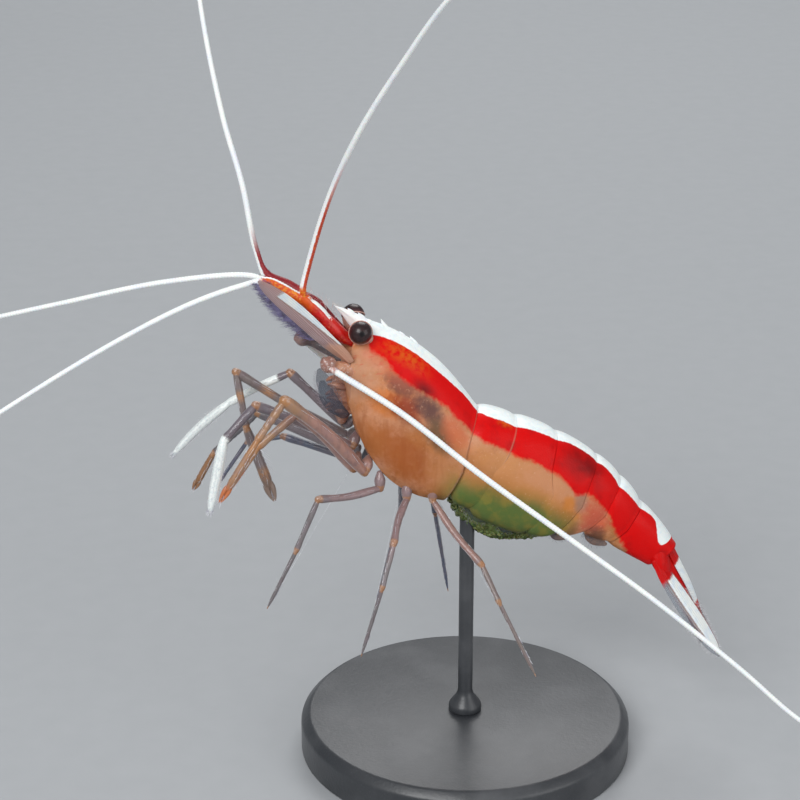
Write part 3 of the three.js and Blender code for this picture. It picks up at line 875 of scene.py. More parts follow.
class Recipe:
    """A material in the making, with short calls for the nodes that it needs."""

    def __init__(self, name: str) -> None:
        """Starts a material with one Principled shader."""
        self.material = bpy.data.materials.new(name)
        self.material.use_nodes = True
        self.tree = self.material.node_tree
        self.shader = self.tree.nodes["Principled BSDF"]
        scaled = self.node("ShaderNodeVectorMath", operation="SCALE")
        self.tree.links.new(self.node("ShaderNodeTexCoord").outputs["Object"], scaled.inputs[0])
        scaled.inputs["Scale"].default_value = 1 / MM
        self.place = scaled.outputs[0]
        self.colour: object = WHITE

    def node(self, kind: str, **settings: object) -> bpy.types.Node:
        """Adds a node with some of its settings.

        Args:
            kind: The node's type.
            settings: What its own fields are set to.

        Returns:
            The node.
        """
        made = self.tree.nodes.new(kind)
        for name, value in settings.items():
            setattr(made, name, value)
        return made

    def feed(self, socket: bpy.types.NodeSocket, value: object) -> None:
        """Joins a signal or socket to a node's input, or sets a plain value there."""
        if isinstance(value, Signal):
            self.tree.links.new(value.socket, socket)
        elif isinstance(value, bpy.types.NodeSocket):
            self.tree.links.new(value, socket)
        elif socket.type == "RGBA":
            socket.default_value = (*value, 1.0)
        else:
            socket.default_value = value

    def layer(self, name: str) -> tuple[Signal, Signal, Signal]:
        """The three numbers of one of the mesh's own layers.

        Args:
            name: The layer.

        Returns:
            The three signals.
        """
        source = self.node("ShaderNodeAttribute", attribute_name=name)
        split = self.node("ShaderNodeSeparateXYZ")
        self.tree.links.new(source.outputs["Vector"], split.inputs[0])
        return tuple(Signal(self, out) for out in split.outputs)

    def cloud(self, grain: float, detail: float = 2.0, stretch: Sequence[float] = (1, 1, 1)) -> Signal:
        """Soft noise.

        Args:
            grain: The size of its lumps in mm.
            detail: How many finer layers it has.
            stretch: How much longer its lumps are along each axis.

        Returns:
            The noise, about 0 to 1.
        """
        mapping = self.node("ShaderNodeMapping")
        self.tree.links.new(self.place, mapping.inputs["Vector"])
        mapping.inputs["Scale"].default_value = [1 / (grain * part) for part in stretch]
        made = self.node("ShaderNodeTexNoise")
        self.tree.links.new(mapping.outputs[0], made.inputs["Vector"])
        made.inputs["Scale"].default_value = 1.0
        made.inputs["Detail"].default_value = detail
        return Signal(self, made.outputs[0])

    def cells(self, grain: float) -> Signal:
        """How far it is to the middle of the nearest of many cells, about 0 to 1.

        Args:
            grain: The size of a cell in mm.

        Returns:
            The distance.
        """
        made = self.node("ShaderNodeTexVoronoi")
        self.tree.links.new(self.place, made.inputs["Vector"])
        made.inputs["Scale"].default_value = 1 / grain
        return Signal(self, made.outputs["Distance"])

    def tint(self, share: Signal | float, first: object, second: object) -> bpy.types.NodeSocket:
        """A colour at a share of the way between two.

        Args:
            share: The share, 0 to 1.
            first: The colour at 0.
            second: The colour at 1.

        Returns:
            The mixed colour.
        """
        made = self.node("ShaderNodeMix", data_type="RGBA")
        self.feed(made.inputs[MIX_SHARE], share)
        self.feed(made.inputs[MIX_FIRST], first)
        self.feed(made.inputs[MIX_SECOND], second)
        return made.outputs[MIX_RESULT]

    def relief(self, *heights: tuple[Signal, float]) -> None:
        """Bumps on the surface.

        Args:
            heights: Each a signal and how many mm high it stands where it is 1.
        """
        total = heights[0][0] * heights[0][1]
        for signal, high in heights[1:]:
            total = total + signal * high
        bump = self.node("ShaderNodeBump")
        self.feed(bump.inputs["Height"], total)
        bump.inputs["Distance"].default_value = MM
        self.tree.links.new(bump.outputs[0], self.shader.inputs["Normal"])

    def over(self, share: Signal | float, colour: object) -> None:
        """Lays another colour over what is there, fully where the share is 1."""
        self.colour = self.tint(share, self.colour, colour)

    def finish(self, **sockets: object) -> Material:
        """Completes the material.

        Args:
            sockets: What the shader's other sockets get, named with underscores for spaces.

        Returns:
            The material.
        """
        for name, value in {"Base_Color": self.colour, **sockets}.items():
            self.feed(self.shader.inputs[name.replace("_", " ")], value)
        return self.material


@dataclass(frozen=True)
class Patch:
    """A soft patch of colour on the trunk: its place along and round in mm, its reach, its tint."""

    along: float
    round: float
    long: float
    tall: float
    tint: Colour
    strength: float = 0.8


@dataclass(frozen=True)
class Livery:
    """The trunk's finish: clear tan shell with a white back stripe over a scarlet band."""

    name: str = "trunk_livery"
    flesh: Colour = (0.56, 0.25, 0.13)
    warm: Colour = (0.5, 0.19, 0.065)
    green: Colour = (0.11, 0.16, 0.04)
    patches: tuple[Patch, ...] = (
        Patch(1.5, 7.0, 3.0, 4.0, (0.55, 0.3, 0.19), 0.7),
        Patch(9.5, 10.5, 3.6, 2.6, (0.36, 0.095, 0.022), 0.85),
        Patch(6.5, 11.5, 2.2, 2.4, (0.42, 0.14, 0.04), 0.6),
        Patch(5.6, 7.2, 1.9, 1.5, (0.62, 0.19, 0.04), 0.8),
        Patch(7.3, 6.5, 2.1, 1.4, (0.27, 0.035, 0.015), 0.85), Patch(5.7, 5.0, 1.9, 1.1, GREY, 1.0),
        Patch(9.1, 5.2, 2.3, 1.3, (0.1, 0.045, 0.045), 0.9),
        Patch(11.3, 6.4, 1.9, 1.6, (0.15, 0.09, 0.05), 0.85),
        Patch(12.6, 5.0, 1.9, 1.5, (0.6, 0.14, 0.06), 0.7),
        Patch(13.2, 9.0, 2.2, 2.0, (0.5, 0.2, 0.07), 0.6),
        Patch(19.5, 6.4, 6.5, 2.6, (0.56, 0.24, 0.09), 0.8),
        Patch(22.5, 5.8, 3.0, 1.6, (0.6, 0.27, 0.15), 0.6),
        Patch(26.3, 6.6, 1.2, 0.9, (0.62, 0.2, 0.03), 0.7),
        Patch(27.7, 5.8, 1.2, 1.1, (0.36, 0.19, 0.13), 0.85),
        Patch(30.6, 5.9, 2.6, 1.9, (0.58, 0.09, 0.05), 0.85),
        Patch(32.8, 6.8, 1.6, 1.2, (0.1, 0.05, 0.035), 0.8),
        Patch(29.2, 8.4, 1.6, 1.2, (0.09, 0.05, 0.03), 0.6),
    )

    def build(self) -> Material:
        """Makes the material.

        Returns:
            The finish, ready for a piece.
        """
        recipe = Recipe(self.name)
        along, girth, _ = recipe.layer("Paint")
        edge, stripe, band = recipe.layer("Trim")
        broad, fine = recipe.cloud(2.6), recipe.cloud(0.5, 3)
        wander = (recipe.cloud(1.5, 3) - 0.5) * 1.1
        recipe.colour = recipe.tint(broad.rise(0.35, 0.7), self.flesh, self.warm)
        streaks = recipe.cloud(1.3, 2, (0.5, 1, 3.0)).rise(0.45, 0.7) * girth.rise(6.0, 9.5)
        recipe.over(streaks * along.fall(12, 16) * 0.5, (0.3, 0.085, 0.02))
        recipe.over(recipe.cloud(0.8, 4).rise(0.5, 0.72) * 0.4, (0.68, 0.34, 0.2))
        recipe.over(recipe.cloud(0.55, 4).rise(0.54, 0.74) * 0.35, (0.3, 0.1, 0.04))
        for patch in self.patches:
            reach = ((along - patch.along) * (1 / patch.long)).power(2)
            reach = reach + ((girth - patch.round) * (1 / patch.tall)).power(2)
            spread = (reach + wander * 0.8 + (fine - 0.5) * 0.9).fall(0.0, 1.3)
            recipe.over(spread * patch.strength, patch.tint)
        edged = (girth + wander * 0.7) - along.hump(17.0, 5.0) * 0.4
        span = along.rise(12.5, 15.5) * along.fall(27, 31)
        recipe.over(edged.rise(6.2, 8.0) * span * 0.6, (0.5, 0.2, 0.04))
        moss = recipe.tint(recipe.cloud(1.1, 3).rise(0.4, 0.65), self.green, (0.2, 0.19, 0.04))
        # Painted shade: the green darkens further round the body, towards the underside.
        moss = recipe.tint(girth.rise(9.5, 12.0) * 0.6, moss, (0.045, 0.06, 0.035))
        recipe.over(edged.rise(6.8, 9.3) * span, moss)
        threads = recipe.cloud(0.3, 3, (3.0, 1, 1.4)).rise(0.55, 0.68) * along.fall(3.0, 6.0)
        recipe.over(threads * girth.fall(4.5, 6.8) * 0.6, (0.58, 0.12, 0.07))
        specks = recipe.cloud(0.28, 2).rise(0.6, 0.75)
        recipe.over(specks * girth.fall(7.5, 9.5) * 0.2, (0.75, 0.48, 0.33))
        halo = (band + wander).fall(0.0, 2.0) * along.fall(5.0, 9.0)
        recipe.over(halo * 0.5, (0.62, 0.14, 0.08))
        red = recipe.tint(recipe.cloud(1.7, 2).rise(0.52, 0.8) * 0.6, SCARLET, (0.36, 0.001, 0.002))
        bruise = along.hump(26.5, 4.5) * girth.hump(2.6, 2.6)
        bruise = bruise.larger(along.hump(8.0, 2.2) * girth.hump(4.1, 1.3))
        red = recipe.tint(bruise * broad.rise(0.25, 0.6), red, (0.2, 0.001, 0.002))
        blaze = along.hump(4.8, 3.9) * girth.hump(2.2, 1.5)
        blaze = blaze.larger(along.hump(17.2, 1.2) * girth.hump(1.9, 0.6))
        red = recipe.tint(blaze * fine.rise(0.3, 0.6), red, ORANGE)
        rag = (fine - 0.5) * 0.55 + wander * 0.4
        banded = (band + rag).fall(-0.25, 0.3) * (along + wander * 0.5).rise(0.5, 0.9)
        recipe.over(banded, red)
        seam = edge.fall(0.06, 0.2) * stripe.rise(-0.2, 0.2) * along.fall(18.5, 23.0)
        recipe.over(seam * 0.3, (0.7, 0.38, 0.26))
        chalk = recipe.tint(fine.rise(0.4, 0.75), WHITE, (0.8, 0.88, 0.9))
        recipe.over((stripe + (fine - 0.5) * 0.22).fall(-0.06, 0.08), chalk)
        recipe.relief((recipe.cells(0.16), 0.012), (fine, 0.02))
        return recipe.finish(
            Roughness=fine * 0.25 + 0.36, Specular_IOR_Level=0.15, Subsurface_Weight=0.12,
            Subsurface_Radius=(0.6, 0.25, 0.15), Subsurface_Scale=MM, Coat_Weight=0.05,
            Coat_Roughness=0.15,
        )


@dataclass(frozen=True)
class Flank:
    """A coloured side of a white piece."""

    start: float  # mm along where it begins
    end: float  # mm along where it has faded out
    turn: float = 0.0  # which way it faces, as degrees round the piece from its upper side
    wide: float = 0.0  # how far round it reaches: -1 for a thin line, 1 for all the way
    tint: Colour = (0.55, 0.012, 0.006)  # its colour
    cloud: Colour = ORANGE  # the colour of its clouds
    fade: float = 0.5  # over how many mm it ends


@dataclass(frozen=True)
class Enamel:
    """Opaque white shell with faint shadows, and coloured flanks where it has them."""

    name: str
    ring: float = 0.0  # mm between its fine rings, or 0 for none
    flanks: tuple[Flank, ...] = ()  # its coloured sides

    def build(self) -> Material:
        """Makes the material.

        Returns:
            The finish, ready for a piece.
        """
        recipe = Recipe(self.name)
        along, sine, cosine = recipe.layer("Paint")
        fine, soft = recipe.cloud(0.25, 3), recipe.cloud(1.6)
        recipe.colour = recipe.tint(soft.rise(0.4, 0.7), WHITE, (0.84, 0.88, 0.93))
        bumps = [(fine, 0.015)]
        if self.ring:
            joints = along.wave(self.ring).rise(0.55, 1.0)
            recipe.over(joints * 0.15, (0.6, 0.6, 0.64))
            bumps.append((joints, -0.012))
        for flank in self.flanks:
            turn = radians(flank.turn)
            facing = sine * sin(turn) + cosine * cos(turn) + (fine - 0.5) * 0.5
            place = along + (fine - 0.5) * 0.5
            cover = facing.rise(-flank.wide - 0.15, -flank.wide + 0.15)
            cover = cover * place.rise(flank.start, flank.start + 0.3)
            cover = cover * place.fall(flank.end - flank.fade, flank.end)
            recipe.over(cover, recipe.tint(fine.rise(0.4, 0.7), flank.tint, flank.cloud))
        recipe.relief(*bumps)
        return recipe.finish(
            Roughness=fine * 0.2 + 0.28, Subsurface_Weight=0.08, Subsurface_Scale=MM * 0.4,
            Coat_Weight=0.25, Coat_Roughness=0.15,
        )


@dataclass(frozen=True)
class Mottled:
    """Clouded living shell of two tones, such as the eyestalks and the feelers' stalks."""

    name: str
    base: Colour  # its main colour
    cloud: Colour  # the colour of its clouds
    fleck: Colour = (0.7, 0.5, 0.4)  # the colour of its fine flecks
    stripe: float = 0.0  # the share of a white stripe along its upper side, 0 for none
    stripe_turn: float = 0.0  # which way the stripe faces, as an angle round the piece
    stripe_start: float = 0.0
    stripe_end: float = 99.0
    tip: Colour = ORANGE  # the colour towards its end
    tip_start: float = 99.0  # mm along where the tip's colour begins
    alpha: float = 1.0  # how solid it is
    gloss: float = 0.3  # how much clear coat it has

    def build(self) -> Material:
        """Makes the material.

        Returns:
            The finish, ready for a piece.
        """
        recipe = Recipe(self.name)
        along, sine, cosine = recipe.layer("Paint")
        fine, soft = recipe.cloud(0.22, 3), recipe.cloud(0.9, 3)
        recipe.colour = recipe.tint(soft.rise(0.38, 0.66), self.base, self.cloud)
        recipe.over((along + soft).rise(self.tip_start, self.tip_start + 1.4), self.tip)
        recipe.over(fine.rise(0.52, 0.7) * 0.5, self.fleck)
        if self.stripe:
            turn = self.stripe_turn
            facing = sine * sin(turn) + cosine * cos(turn) + (fine - 0.5) * 0.12
            band = facing.rise(1 - self.stripe, 1.08 - self.stripe)
            span = (along + fine).rise(self.stripe_start, self.stripe_start + 0.4)
            span = span * (along + fine).fall(self.stripe_end, self.stripe_end + 0.4)
            recipe.over(band * span, WHITE)
        recipe.relief((recipe.cells(0.12), 0.012), (fine, 0.02))
        return recipe.finish(
            Alpha=self.alpha, Roughness=fine * 0.2 + 0.4 - self.gloss / 2,
            Specular_IOR_Level=0.1 + self.gloss, Subsurface_Weight=0.1, Subsurface_Scale=MM * 0.5,
            Coat_Weight=self.gloss, Coat_Roughness=0.12,
        )


@dataclass(frozen=True)
class LimbTint:
    """A limb's clear shell over a darker core, with amber joints and a white end where it has one."""

    name: str
    upper: Colour = (0.36, 0.21, 0.19)  # its colour near the body
    lower: Colour = (0.17, 0.14, 0.13)  # its colour in the far lengths
    tip: Colour = (0.2, 0.15, 0.13)  # the colour of its end
    turning: float = 8.0  # mm along where the upper colour gives way to the lower
    tip_start: float = 99.0  # mm along where the tip's colour begins
    white_start: float = 99.0  # mm along where it turns white, past its end for never
    amber: Colour = (0.5, 0.22, 0.07)  # the colour of its joints
    ambers: tuple[tuple[float, float], ...] = ()  # more amber places, mm along and half length
    alpha: float = 0.8  # how solid it is

    def build(self) -> Material:
        """Makes the material.

        Returns:
            The finish, ready for a piece.
        """
        recipe = Recipe(self.name)
        along, joint, facing = recipe.layer("Paint")
        fine, soft = recipe.cloud(0.2, 3), recipe.cloud(0.9, 2)
        core = recipe.cloud(0.45, 2, (1, 1, 3))
        recipe.colour = recipe.tint(
            (along + soft * 2).rise(self.turning, self.turning + 3), self.upper, self.lower
        )
        recipe.over(soft.rise(0.4, 0.7) * 0.35, (0.24, 0.17, 0.2))
        recipe.over(core.rise(0.45, 0.7) * 0.35, (0.14, 0.09, 0.09))
        recipe.over((along + soft).rise(self.tip_start, self.tip_start + 1.2), self.tip)
        recipe.over(joint.rise(0.25, 0.8) * fine.rise(0.1, 0.5) * 0.7, self.amber)
        for place, reach in self.ambers:
            recipe.over(along.hump(place, reach) * fine.rise(0.25, 0.55) * 0.8, self.amber)
        glint = joint.rise(0.6, 1.0) * facing.rise(0.1, 0.7) * fine.rise(0.4, 0.55)
        recipe.over(glint * 0.4, (0.7, 0.58, 0.54))
        recipe.over(fine.rise(0.6, 0.8) * 0.3, (0.5, 0.38, 0.34))
        whitened = (along + fine * 0.5).rise(self.white_start, self.white_start + 0.35)
        chalk = recipe.tint(fine.rise(0.35, 0.7), WHITE, (0.74, 0.83, 0.82))
        recipe.over(whitened, chalk)
        recipe.relief((fine, 0.02), (recipe.cells(0.1), 0.01))
        return recipe.finish(
            Alpha=whitened.larger(self.alpha), Roughness=fine * 0.2 + 0.22, Sheen_Weight=0.5,
            Sheen_Roughness=0.3, Coat_Weight=0.4, Coat_Roughness=0.1,
        )


@dataclass(frozen=True)
class Eyeball:
    """The eye's glossy dark ball of fine facets, with a black spot where it looks out."""

    name: str = "eyeball"
    ball: Colour = (0.026, 0.011, 0.012)
    spot: Colour = (0.002, 0.001, 0.002)
    rim: Colour = (0.1, 0.04, 0.045)

    def build(self) -> Material:
        """Makes the material.

        Returns:
            The finish, ready for a piece.
        """
        recipe = Recipe(self.name)
        turned, _, _ = recipe.layer("Paint")
        fine = recipe.cloud(0.3, 3)
        recipe.colour = recipe.tint(fine.rise(0.35, 0.75), self.ball, (0.04, 0.018, 0.018))
        recipe.over((turned + fine * 0.12).fall(0.24, 0.4), self.spot)
        recipe.over(turned.rise(1.15, 1.55), self.rim)
        facets = recipe.cells(0.07)
        recipe.over(facets.rise(0.3, 0.6) * 0.35, (0.012, 0.006, 0.008))
        recipe.relief((facets, -0.008))
        return recipe.finish(
            Roughness=0.3, Specular_IOR_Level=0.3, Coat_Weight=0.25, Coat_Roughness=0.1
        )


@dataclass(frozen=True)
class Film:
    """Thin clear blades: a tint across them, ribs, a white streak and see-through margins."""

    name: str
    base: Colour  # the colour over its root
    far: Colour  # the colour over its end
    turn: float = 3.0  # mm along where the far colour begins
    streak: float = 0.0  # where the white streak lies across, from -1 to 1
    streak_wide: float = 0.0  # the streak's half width, 0 for none
    streak_start: float = 0.0  # mm along where it begins
    streak_end: float = 99.0  # mm along where it ends
    streak_grow: float = 0.0  # how much wider it gets with each mm
    streak_lean: float = 0.0  # how far it moves across with each mm
    clear: float = 0.5  # how solid the far part and the margins are
    solid: float = 1.0  # how solid the root part is
    edge: Colour = ORANGE
    rib: Colour = (0.36, 0.2, 0.16)

    def build(self) -> Material:
        """Makes the material.

        Returns:
            The finish, ready for a piece.
        """
        recipe = Recipe(self.name)
        along, across, _ = recipe.layer("Paint")
        fine, soft = recipe.cloud(0.2, 3), recipe.cloud(0.9)
        far = (along + soft * 1.2).rise(self.turn, self.turn + 1.0)
        recipe.colour = recipe.tint(far, self.base, self.far)
        ribs = (across + (soft - 0.5) * 0.1).wave(0.22).rise(0.2, 0.9)
        recipe.over(ribs * far * 0.7, self.rib)
        recipe.over(fine.rise(0.55, 0.8) * far * 0.3, (0.75, 0.6, 0.6))
        solid = far.fall(0, 1) * (self.solid - self.clear) + self.clear
        if self.streak_wide:
            reach = abs(across - self.streak - along * self.streak_lean)
            reach = reach + (fine - 0.5) * 0.12 - along * self.streak_grow
            span = (along + fine * 0.4).rise(self.streak_start, self.streak_start + 0.35)
            span = span * (along + fine * 0.4).fall(self.streak_end - 0.35, self.streak_end)
            rim = self.streak_wide + 0.06
            recipe.over(reach.fall(rim, rim + 0.14) * span * 0.6, self.edge)
            white = reach.fall(self.streak_wide - 0.06, self.streak_wide + 0.05) * span
            recipe.over(white, recipe.tint(soft.rise(0.4, 0.7), WHITE, (0.78, 0.86, 0.92)))
            solid = solid.larger(white)
        recipe.relief((ribs, 0.03), (fine, 0.015))
        return recipe.finish(
            Alpha=solid, Roughness=fine * 0.15 + 0.35, Specular_IOR_Level=0.15, Coat_Weight=0.05,
            Coat_Roughness=0.1,
        )


@dataclass(frozen=True)
class Bead:
    """The eggs: glossy olive beads, each a little different, with a pale yolk spot."""

    name: str = "egg_beads"
    green: Colour = (0.12, 0.19, 0.055)
    olive: Colour = (0.18, 0.2, 0.06)

    def build(self) -> Material:
        """Makes the material.

        Returns:
            The finish, ready for a piece.
        """
        recipe = Recipe(self.name)
        shade, height, _ = recipe.layer("Paint")
        soft = recipe.cloud(2.4)
        recipe.colour = recipe.tint((shade * 0.6 + soft * 0.6).rise(0.25, 0.85), self.green, self.olive)
        recipe.over(height.rise(0.2, 0.95) * 0.25, (0.3, 0.34, 0.1))
        recipe.over(recipe.cloud(0.12).rise(0.5, 0.7) * 0.3, (0.05, 0.07, 0.02))
        recipe.relief((recipe.cloud(0.1), 0.01))
        return recipe.finish(
            Roughness=0.38, Specular_IOR_Level=0.3, Subsurface_Weight=0.15,
            Subsurface_Scale=MM * 0.3, Coat_Weight=0.15, Coat_Roughness=0.1,
        )


@dataclass(frozen=True)
class Bristle:
    """Fine stiff hairs in one colour that varies from hair to hair."""

    name: str
    dark: Colour
    light: Colour
    grain: float = 0.4

    def build(self) -> Material:
        """Makes the material.

        Returns:
            The finish, ready for a piece.
        """
        recipe = Recipe(self.name)
        mixed = recipe.cloud(self.grain, 2)
        recipe.colour = recipe.tint(mixed.rise(0.3, 0.7), self.dark, self.light)
        return recipe.finish(Roughness=mixed * 0.3 + 0.3, Sheen_Weight=0.3, Coat_Weight=0.2)


@dataclass(frozen=True)
class StandPaint:
    """Satin stoving paint with a fine orange-peel skin and faint brushed wear."""

    name: str = "stand_paint"
    deep: Colour = (0.03, 0.033, 0.038)
    worn: Colour = (0.065, 0.068, 0.074)

    def build(self) -> Material:
        """Makes the material.

        Returns:
            The finish, ready for a piece.
        """
        recipe = Recipe(self.name)
        wear, peel = recipe.cloud(5.0, 4), recipe.cloud(0.35, 2)
        recipe.colour = recipe.tint(wear.rise(0.4, 0.75), self.deep, self.worn)
        recipe.over(recipe.cloud(0.09).rise(0.62, 0.78) * 0.5, (0.13, 0.13, 0.14))
        recipe.relief((peel, 0.03))
        return recipe.finish(Roughness=wear * 0.2 + 0.34, Coat_Weight=0.25, Coat_Roughness=0.25)


# The trunk


def trunk_spot(point: Vector, along: float, girth: float, depth: float, edge: float = 9.0) -> Spot:
    """A spot of the trunk with what its livery reads.

    Args:
        point: Where it is.
        along: Millimetres behind the root of the beak.
        girth: Millimetres round from the middle of the back.
        depth: Millimetres below the back.
        edge: Millimetres to the plate's free edge.

    Returns:
        The spot.
    """
    stripe, band = STRIPE(along), BAND(along)
    return Spot(point, (along, girth, depth), (edge, girth - stripe, girth - band))


STRIPE = Profile((
    (-4.0, 1.5), (0.0, 1.75), (2.0, 1.45), (5.0, 1.4), (8.0, 1.42), (10.5, 1.3), (13.0, 1.0),
    (14.6, 1.1), (15.2, 1.5), (17.6, 1.75), (20.0, 1.65), (22.4, 1.5), (24.5, 1.2), (27.0, 1.2),
    (29.5, 1.4), (31.6, 1.7), (33.5, 1.5), (35.7, 1.1), (37.0, 0.95), (38.0, 1.7), (39.0, 2.1),
    (39.7, 1.7), (40.2, -0.6), (41.0, -3.0),
))
BAND = Profile((
    (-4.0, 1.0), (0.4, 0.9), (1.4, 3.0), (3.2, 3.6), (4.7, 4.35), (8.2, 4.35), (10.5, 3.85),
    (12.2, 3.8), (14.0, 3.5), (15.5, 4.1), (17.8, 4.4), (18.6, 4.45), (19.6, 4.65), (20.6, 4.5),
    (22.6, 4.8), (24.0, 4.75), (25.6, 5.1), (26.5, 5.4), (28.0, 4.75), (31.0, 4.5), (33.5, 4.8),
    (35.7, 5.0), (37.5, 5.2), (38.8, 7.0), (40.5, 9.0),
))


@dataclass
class Carapace:
    """The shield over head and breast, the body inside it, its keel of teeth and the beak."""

    livery: Material
    white: Material
    shape: CarapaceShape = CARAPACE
    half_turn: float = radians(150)  # how far the shield reaches round from the back
    wall: float = 0.14  # the shield's thickness
    notch: float = 0.9  # how deep the eye's notch is
    spine: float = 0.95  # how long the spine below the eye is
    cheek: float = 3.4  # how far the front edge runs back below
    beak_root: float = 12.4  # the beak's ends, in mm forward
    beak_tip: float = 17.9
    teeth: tuple[Triple, ...] = (  # their places forward, lengths and heights
        (9.6, 1.0, 0.3), (10.9, 0.6, 0.18), (12.9, 1.1, 0.46),
    )

    def margin(self, angle: float) -> float:
        """How far forward the shield reaches at an angle: notched at the eye, spined below it.

        Args:
            angle: The turn from the back, in radians.

        Returns:
            Millimetres forward of the rear edge.
        """
        turn = abs(degrees(angle))
        point = max(0.0, 1 - abs(turn - 74) / 9) ** 1.5
        notch = self.notch * bell(turn, 45, 17)
        return self.shape.front - notch + self.spine * point - self.cheek * ease(turn, 84, 150)

    def shield(self) -> None:
        """The shield's thin shell, with a raised hem and a ridge down the middle of its back."""
        work = Workpiece("carapace_shield")

        def place(u: float, v: float) -> Spot:
            """The shield's spot at shares round it and forward."""
            angle = mix(-self.half_turn, self.half_turn, u)
            front = self.margin(angle)
            at = front * v
            side_edge = (self.half_turn - abs(angle)) * 4.5
            edge = min(at, front - at, side_edge)
            hem = 0.07 * bell(min(edge, 0.9), 0.12, 0.16)
            ridge = 0.24 * bell(degrees(angle), 0, 7) * ease(at, 1.5, 7.0)
            groove = -0.1 * bell(at - 0.06 * abs(degrees(angle)), 5.4, 0.7) * ease(abs(angle), 0.3, 0.9)
            point, depth = self.shape.point(at, angle, 0.05 + hem + ridge + groove)
            girth = CARAPACE_GIRTH(at, angle)
            return trunk_spot(point, self.shape.front - at, girth, depth, min(edge, at + 0.02))

        work.skin(132, 72, place)
        work.shell(self.wall)
        work.done(self.livery, Slot.SHELL, ["carapace"], turn_out=False)

    def breast(self) -> None:
        """The body inside the shield, closed in front between the eyes and below between the legs."""
        work = Workpiece("head_and_breast")
        front = self.shape.front
        rear_end, front_end = -1.4, front + 0.5
        rear_closes, front_closes = 0.4, 12.6

        def place(u: float, v: float) -> Spot:
            """The body's spot at shares round it and forward."""
            angle, at = mix(-pi, pi, u), mix(rear_end, front_end, v)
            ahead = max(0.0, (at - front_closes) / (front_end - front_closes))
            behind = max(0.0, (rear_closes - at) / (rear_closes - rear_end))
            full = sqrt(max(0.0, 1 - ahead**2.4))
            full *= sqrt(max(0.0, 1 - behind**2))
            held = min(at, front)
            point, depth = self.shape.point(held, angle, -0.16)
            middle = self.shape.point(held, 0.0)[0].lerp(self.shape.point(held, pi)[0], 0.5)
            lead = self.shape.base.heading(1, 0, 0) * max(0.0, at - front)
            ribs = 0.12 * sin(at * 3.1) * ease(abs(degrees(angle)), 140, 165)
            point = middle + (point - middle) * full * (1 + ribs * 0.15) + lead
            return trunk_spot(point, front - at, CARAPACE_GIRTH(held, angle), depth)

        work.skin(72, 60, place)
        work.done(self.livery, Slot.SHELL)

    def beak(self) -> None:
        """The beak: a sharp blade with teeth above and below, and the keel's teeth behind it."""
        work = Workpiece("beak_and_keel_teeth")
        base = self.shape.base
        top = Profile(((12.4, 0.24), (14.0, 0.02), (15.4, -0.26), (16.6, -0.6), (17.9, -1.08)))
        low = Profile(((12.4, -1.3), (14.0, -1.8), (15.2, -1.7), (16.6, -1.35), (17.9, -1.12)))
        half = Profile(((12.4, 0.55), (14.0, 0.42), (15.5, 0.26), (17.0, 0.13), (17.9, 0.03)))

        def place(u: float, v: float) -> Spot:
            """The beak's spot at shares round it and forward."""
            angle, along = FULL_TURN * u, mix(self.beak_root, self.beak_tip, v)
            crest, keel = top(along), low(along)
            closing = min(1.0, v * 12, (1 - v) * 9) ** 0.5 if 0 < v < 1 else 0.0
            side = 0.16 * bell(degrees(abs(pi - abs(pi - angle))), 78, 12)
            out = (half(along) * abs(sin(angle)) ** 1.2 + side) * copysign(1, sin(angle))
            up = (crest + keel) / 2 + (crest - keel) / 2 * cos(angle) * closing
            return Spot(base.point(along, out * closing, up), (along - 12, sin(angle), cos(angle)))

        work.skin(24, 36, place)
        spikes = [(at, self.shape.crest(at) + 0.12, long, high) for at, long, high in self.teeth]
        spikes += [(15.2, -0.32, 0.8, 0.16), (16.3, -0.6, 0.7, 0.14)]
        for at, up, long, high in spikes:
            places = ((-1.1, -0.3), (-0.45, 0.2), (0.1, 0.62), (0.5, 1.0))
            points = [base.point(at + long * reach, 0, up + high * rise) for reach, rise in places]
            taper = Profile(((0, 0.12), (0.3, 0.17), (0.7, 0.1), (1, 0.015)))
            deep = Profile(((0, 0.1), (0.35, 0.24), (0.75, 0.15), (1, 0.015)))
            work.tube(Course(points, taper, deep, steps=24), 10, 18)
        work.done(self.white, Slot.WHITE, ["rostrum"])
        brush = Brush("beak_hairs")
        chance = random.Random(19)
        for step in range(9):
            along = mix(self.beak_tip - 1, self.beak_tip, step / 8)
            way = base.heading(1, chance.uniform(-0.15, 0.15), chance.uniform(-0.15, 0.5))
            brush.add(
                base.point(along, 0, top(along) - 0.03), way, chance.uniform(0.5, 0.9),
                (step / 9, 0.5),
            )
        brush.done(Bristle("beak_bristle", (0.5, 0.4, 0.34), (0.8, 0.76, 0.7)).build(), Slot.WHITE)

    def build(self) -> None:
        """Makes every piece of the carapace."""
        self.shield()
        self.breast()
        self.beak()


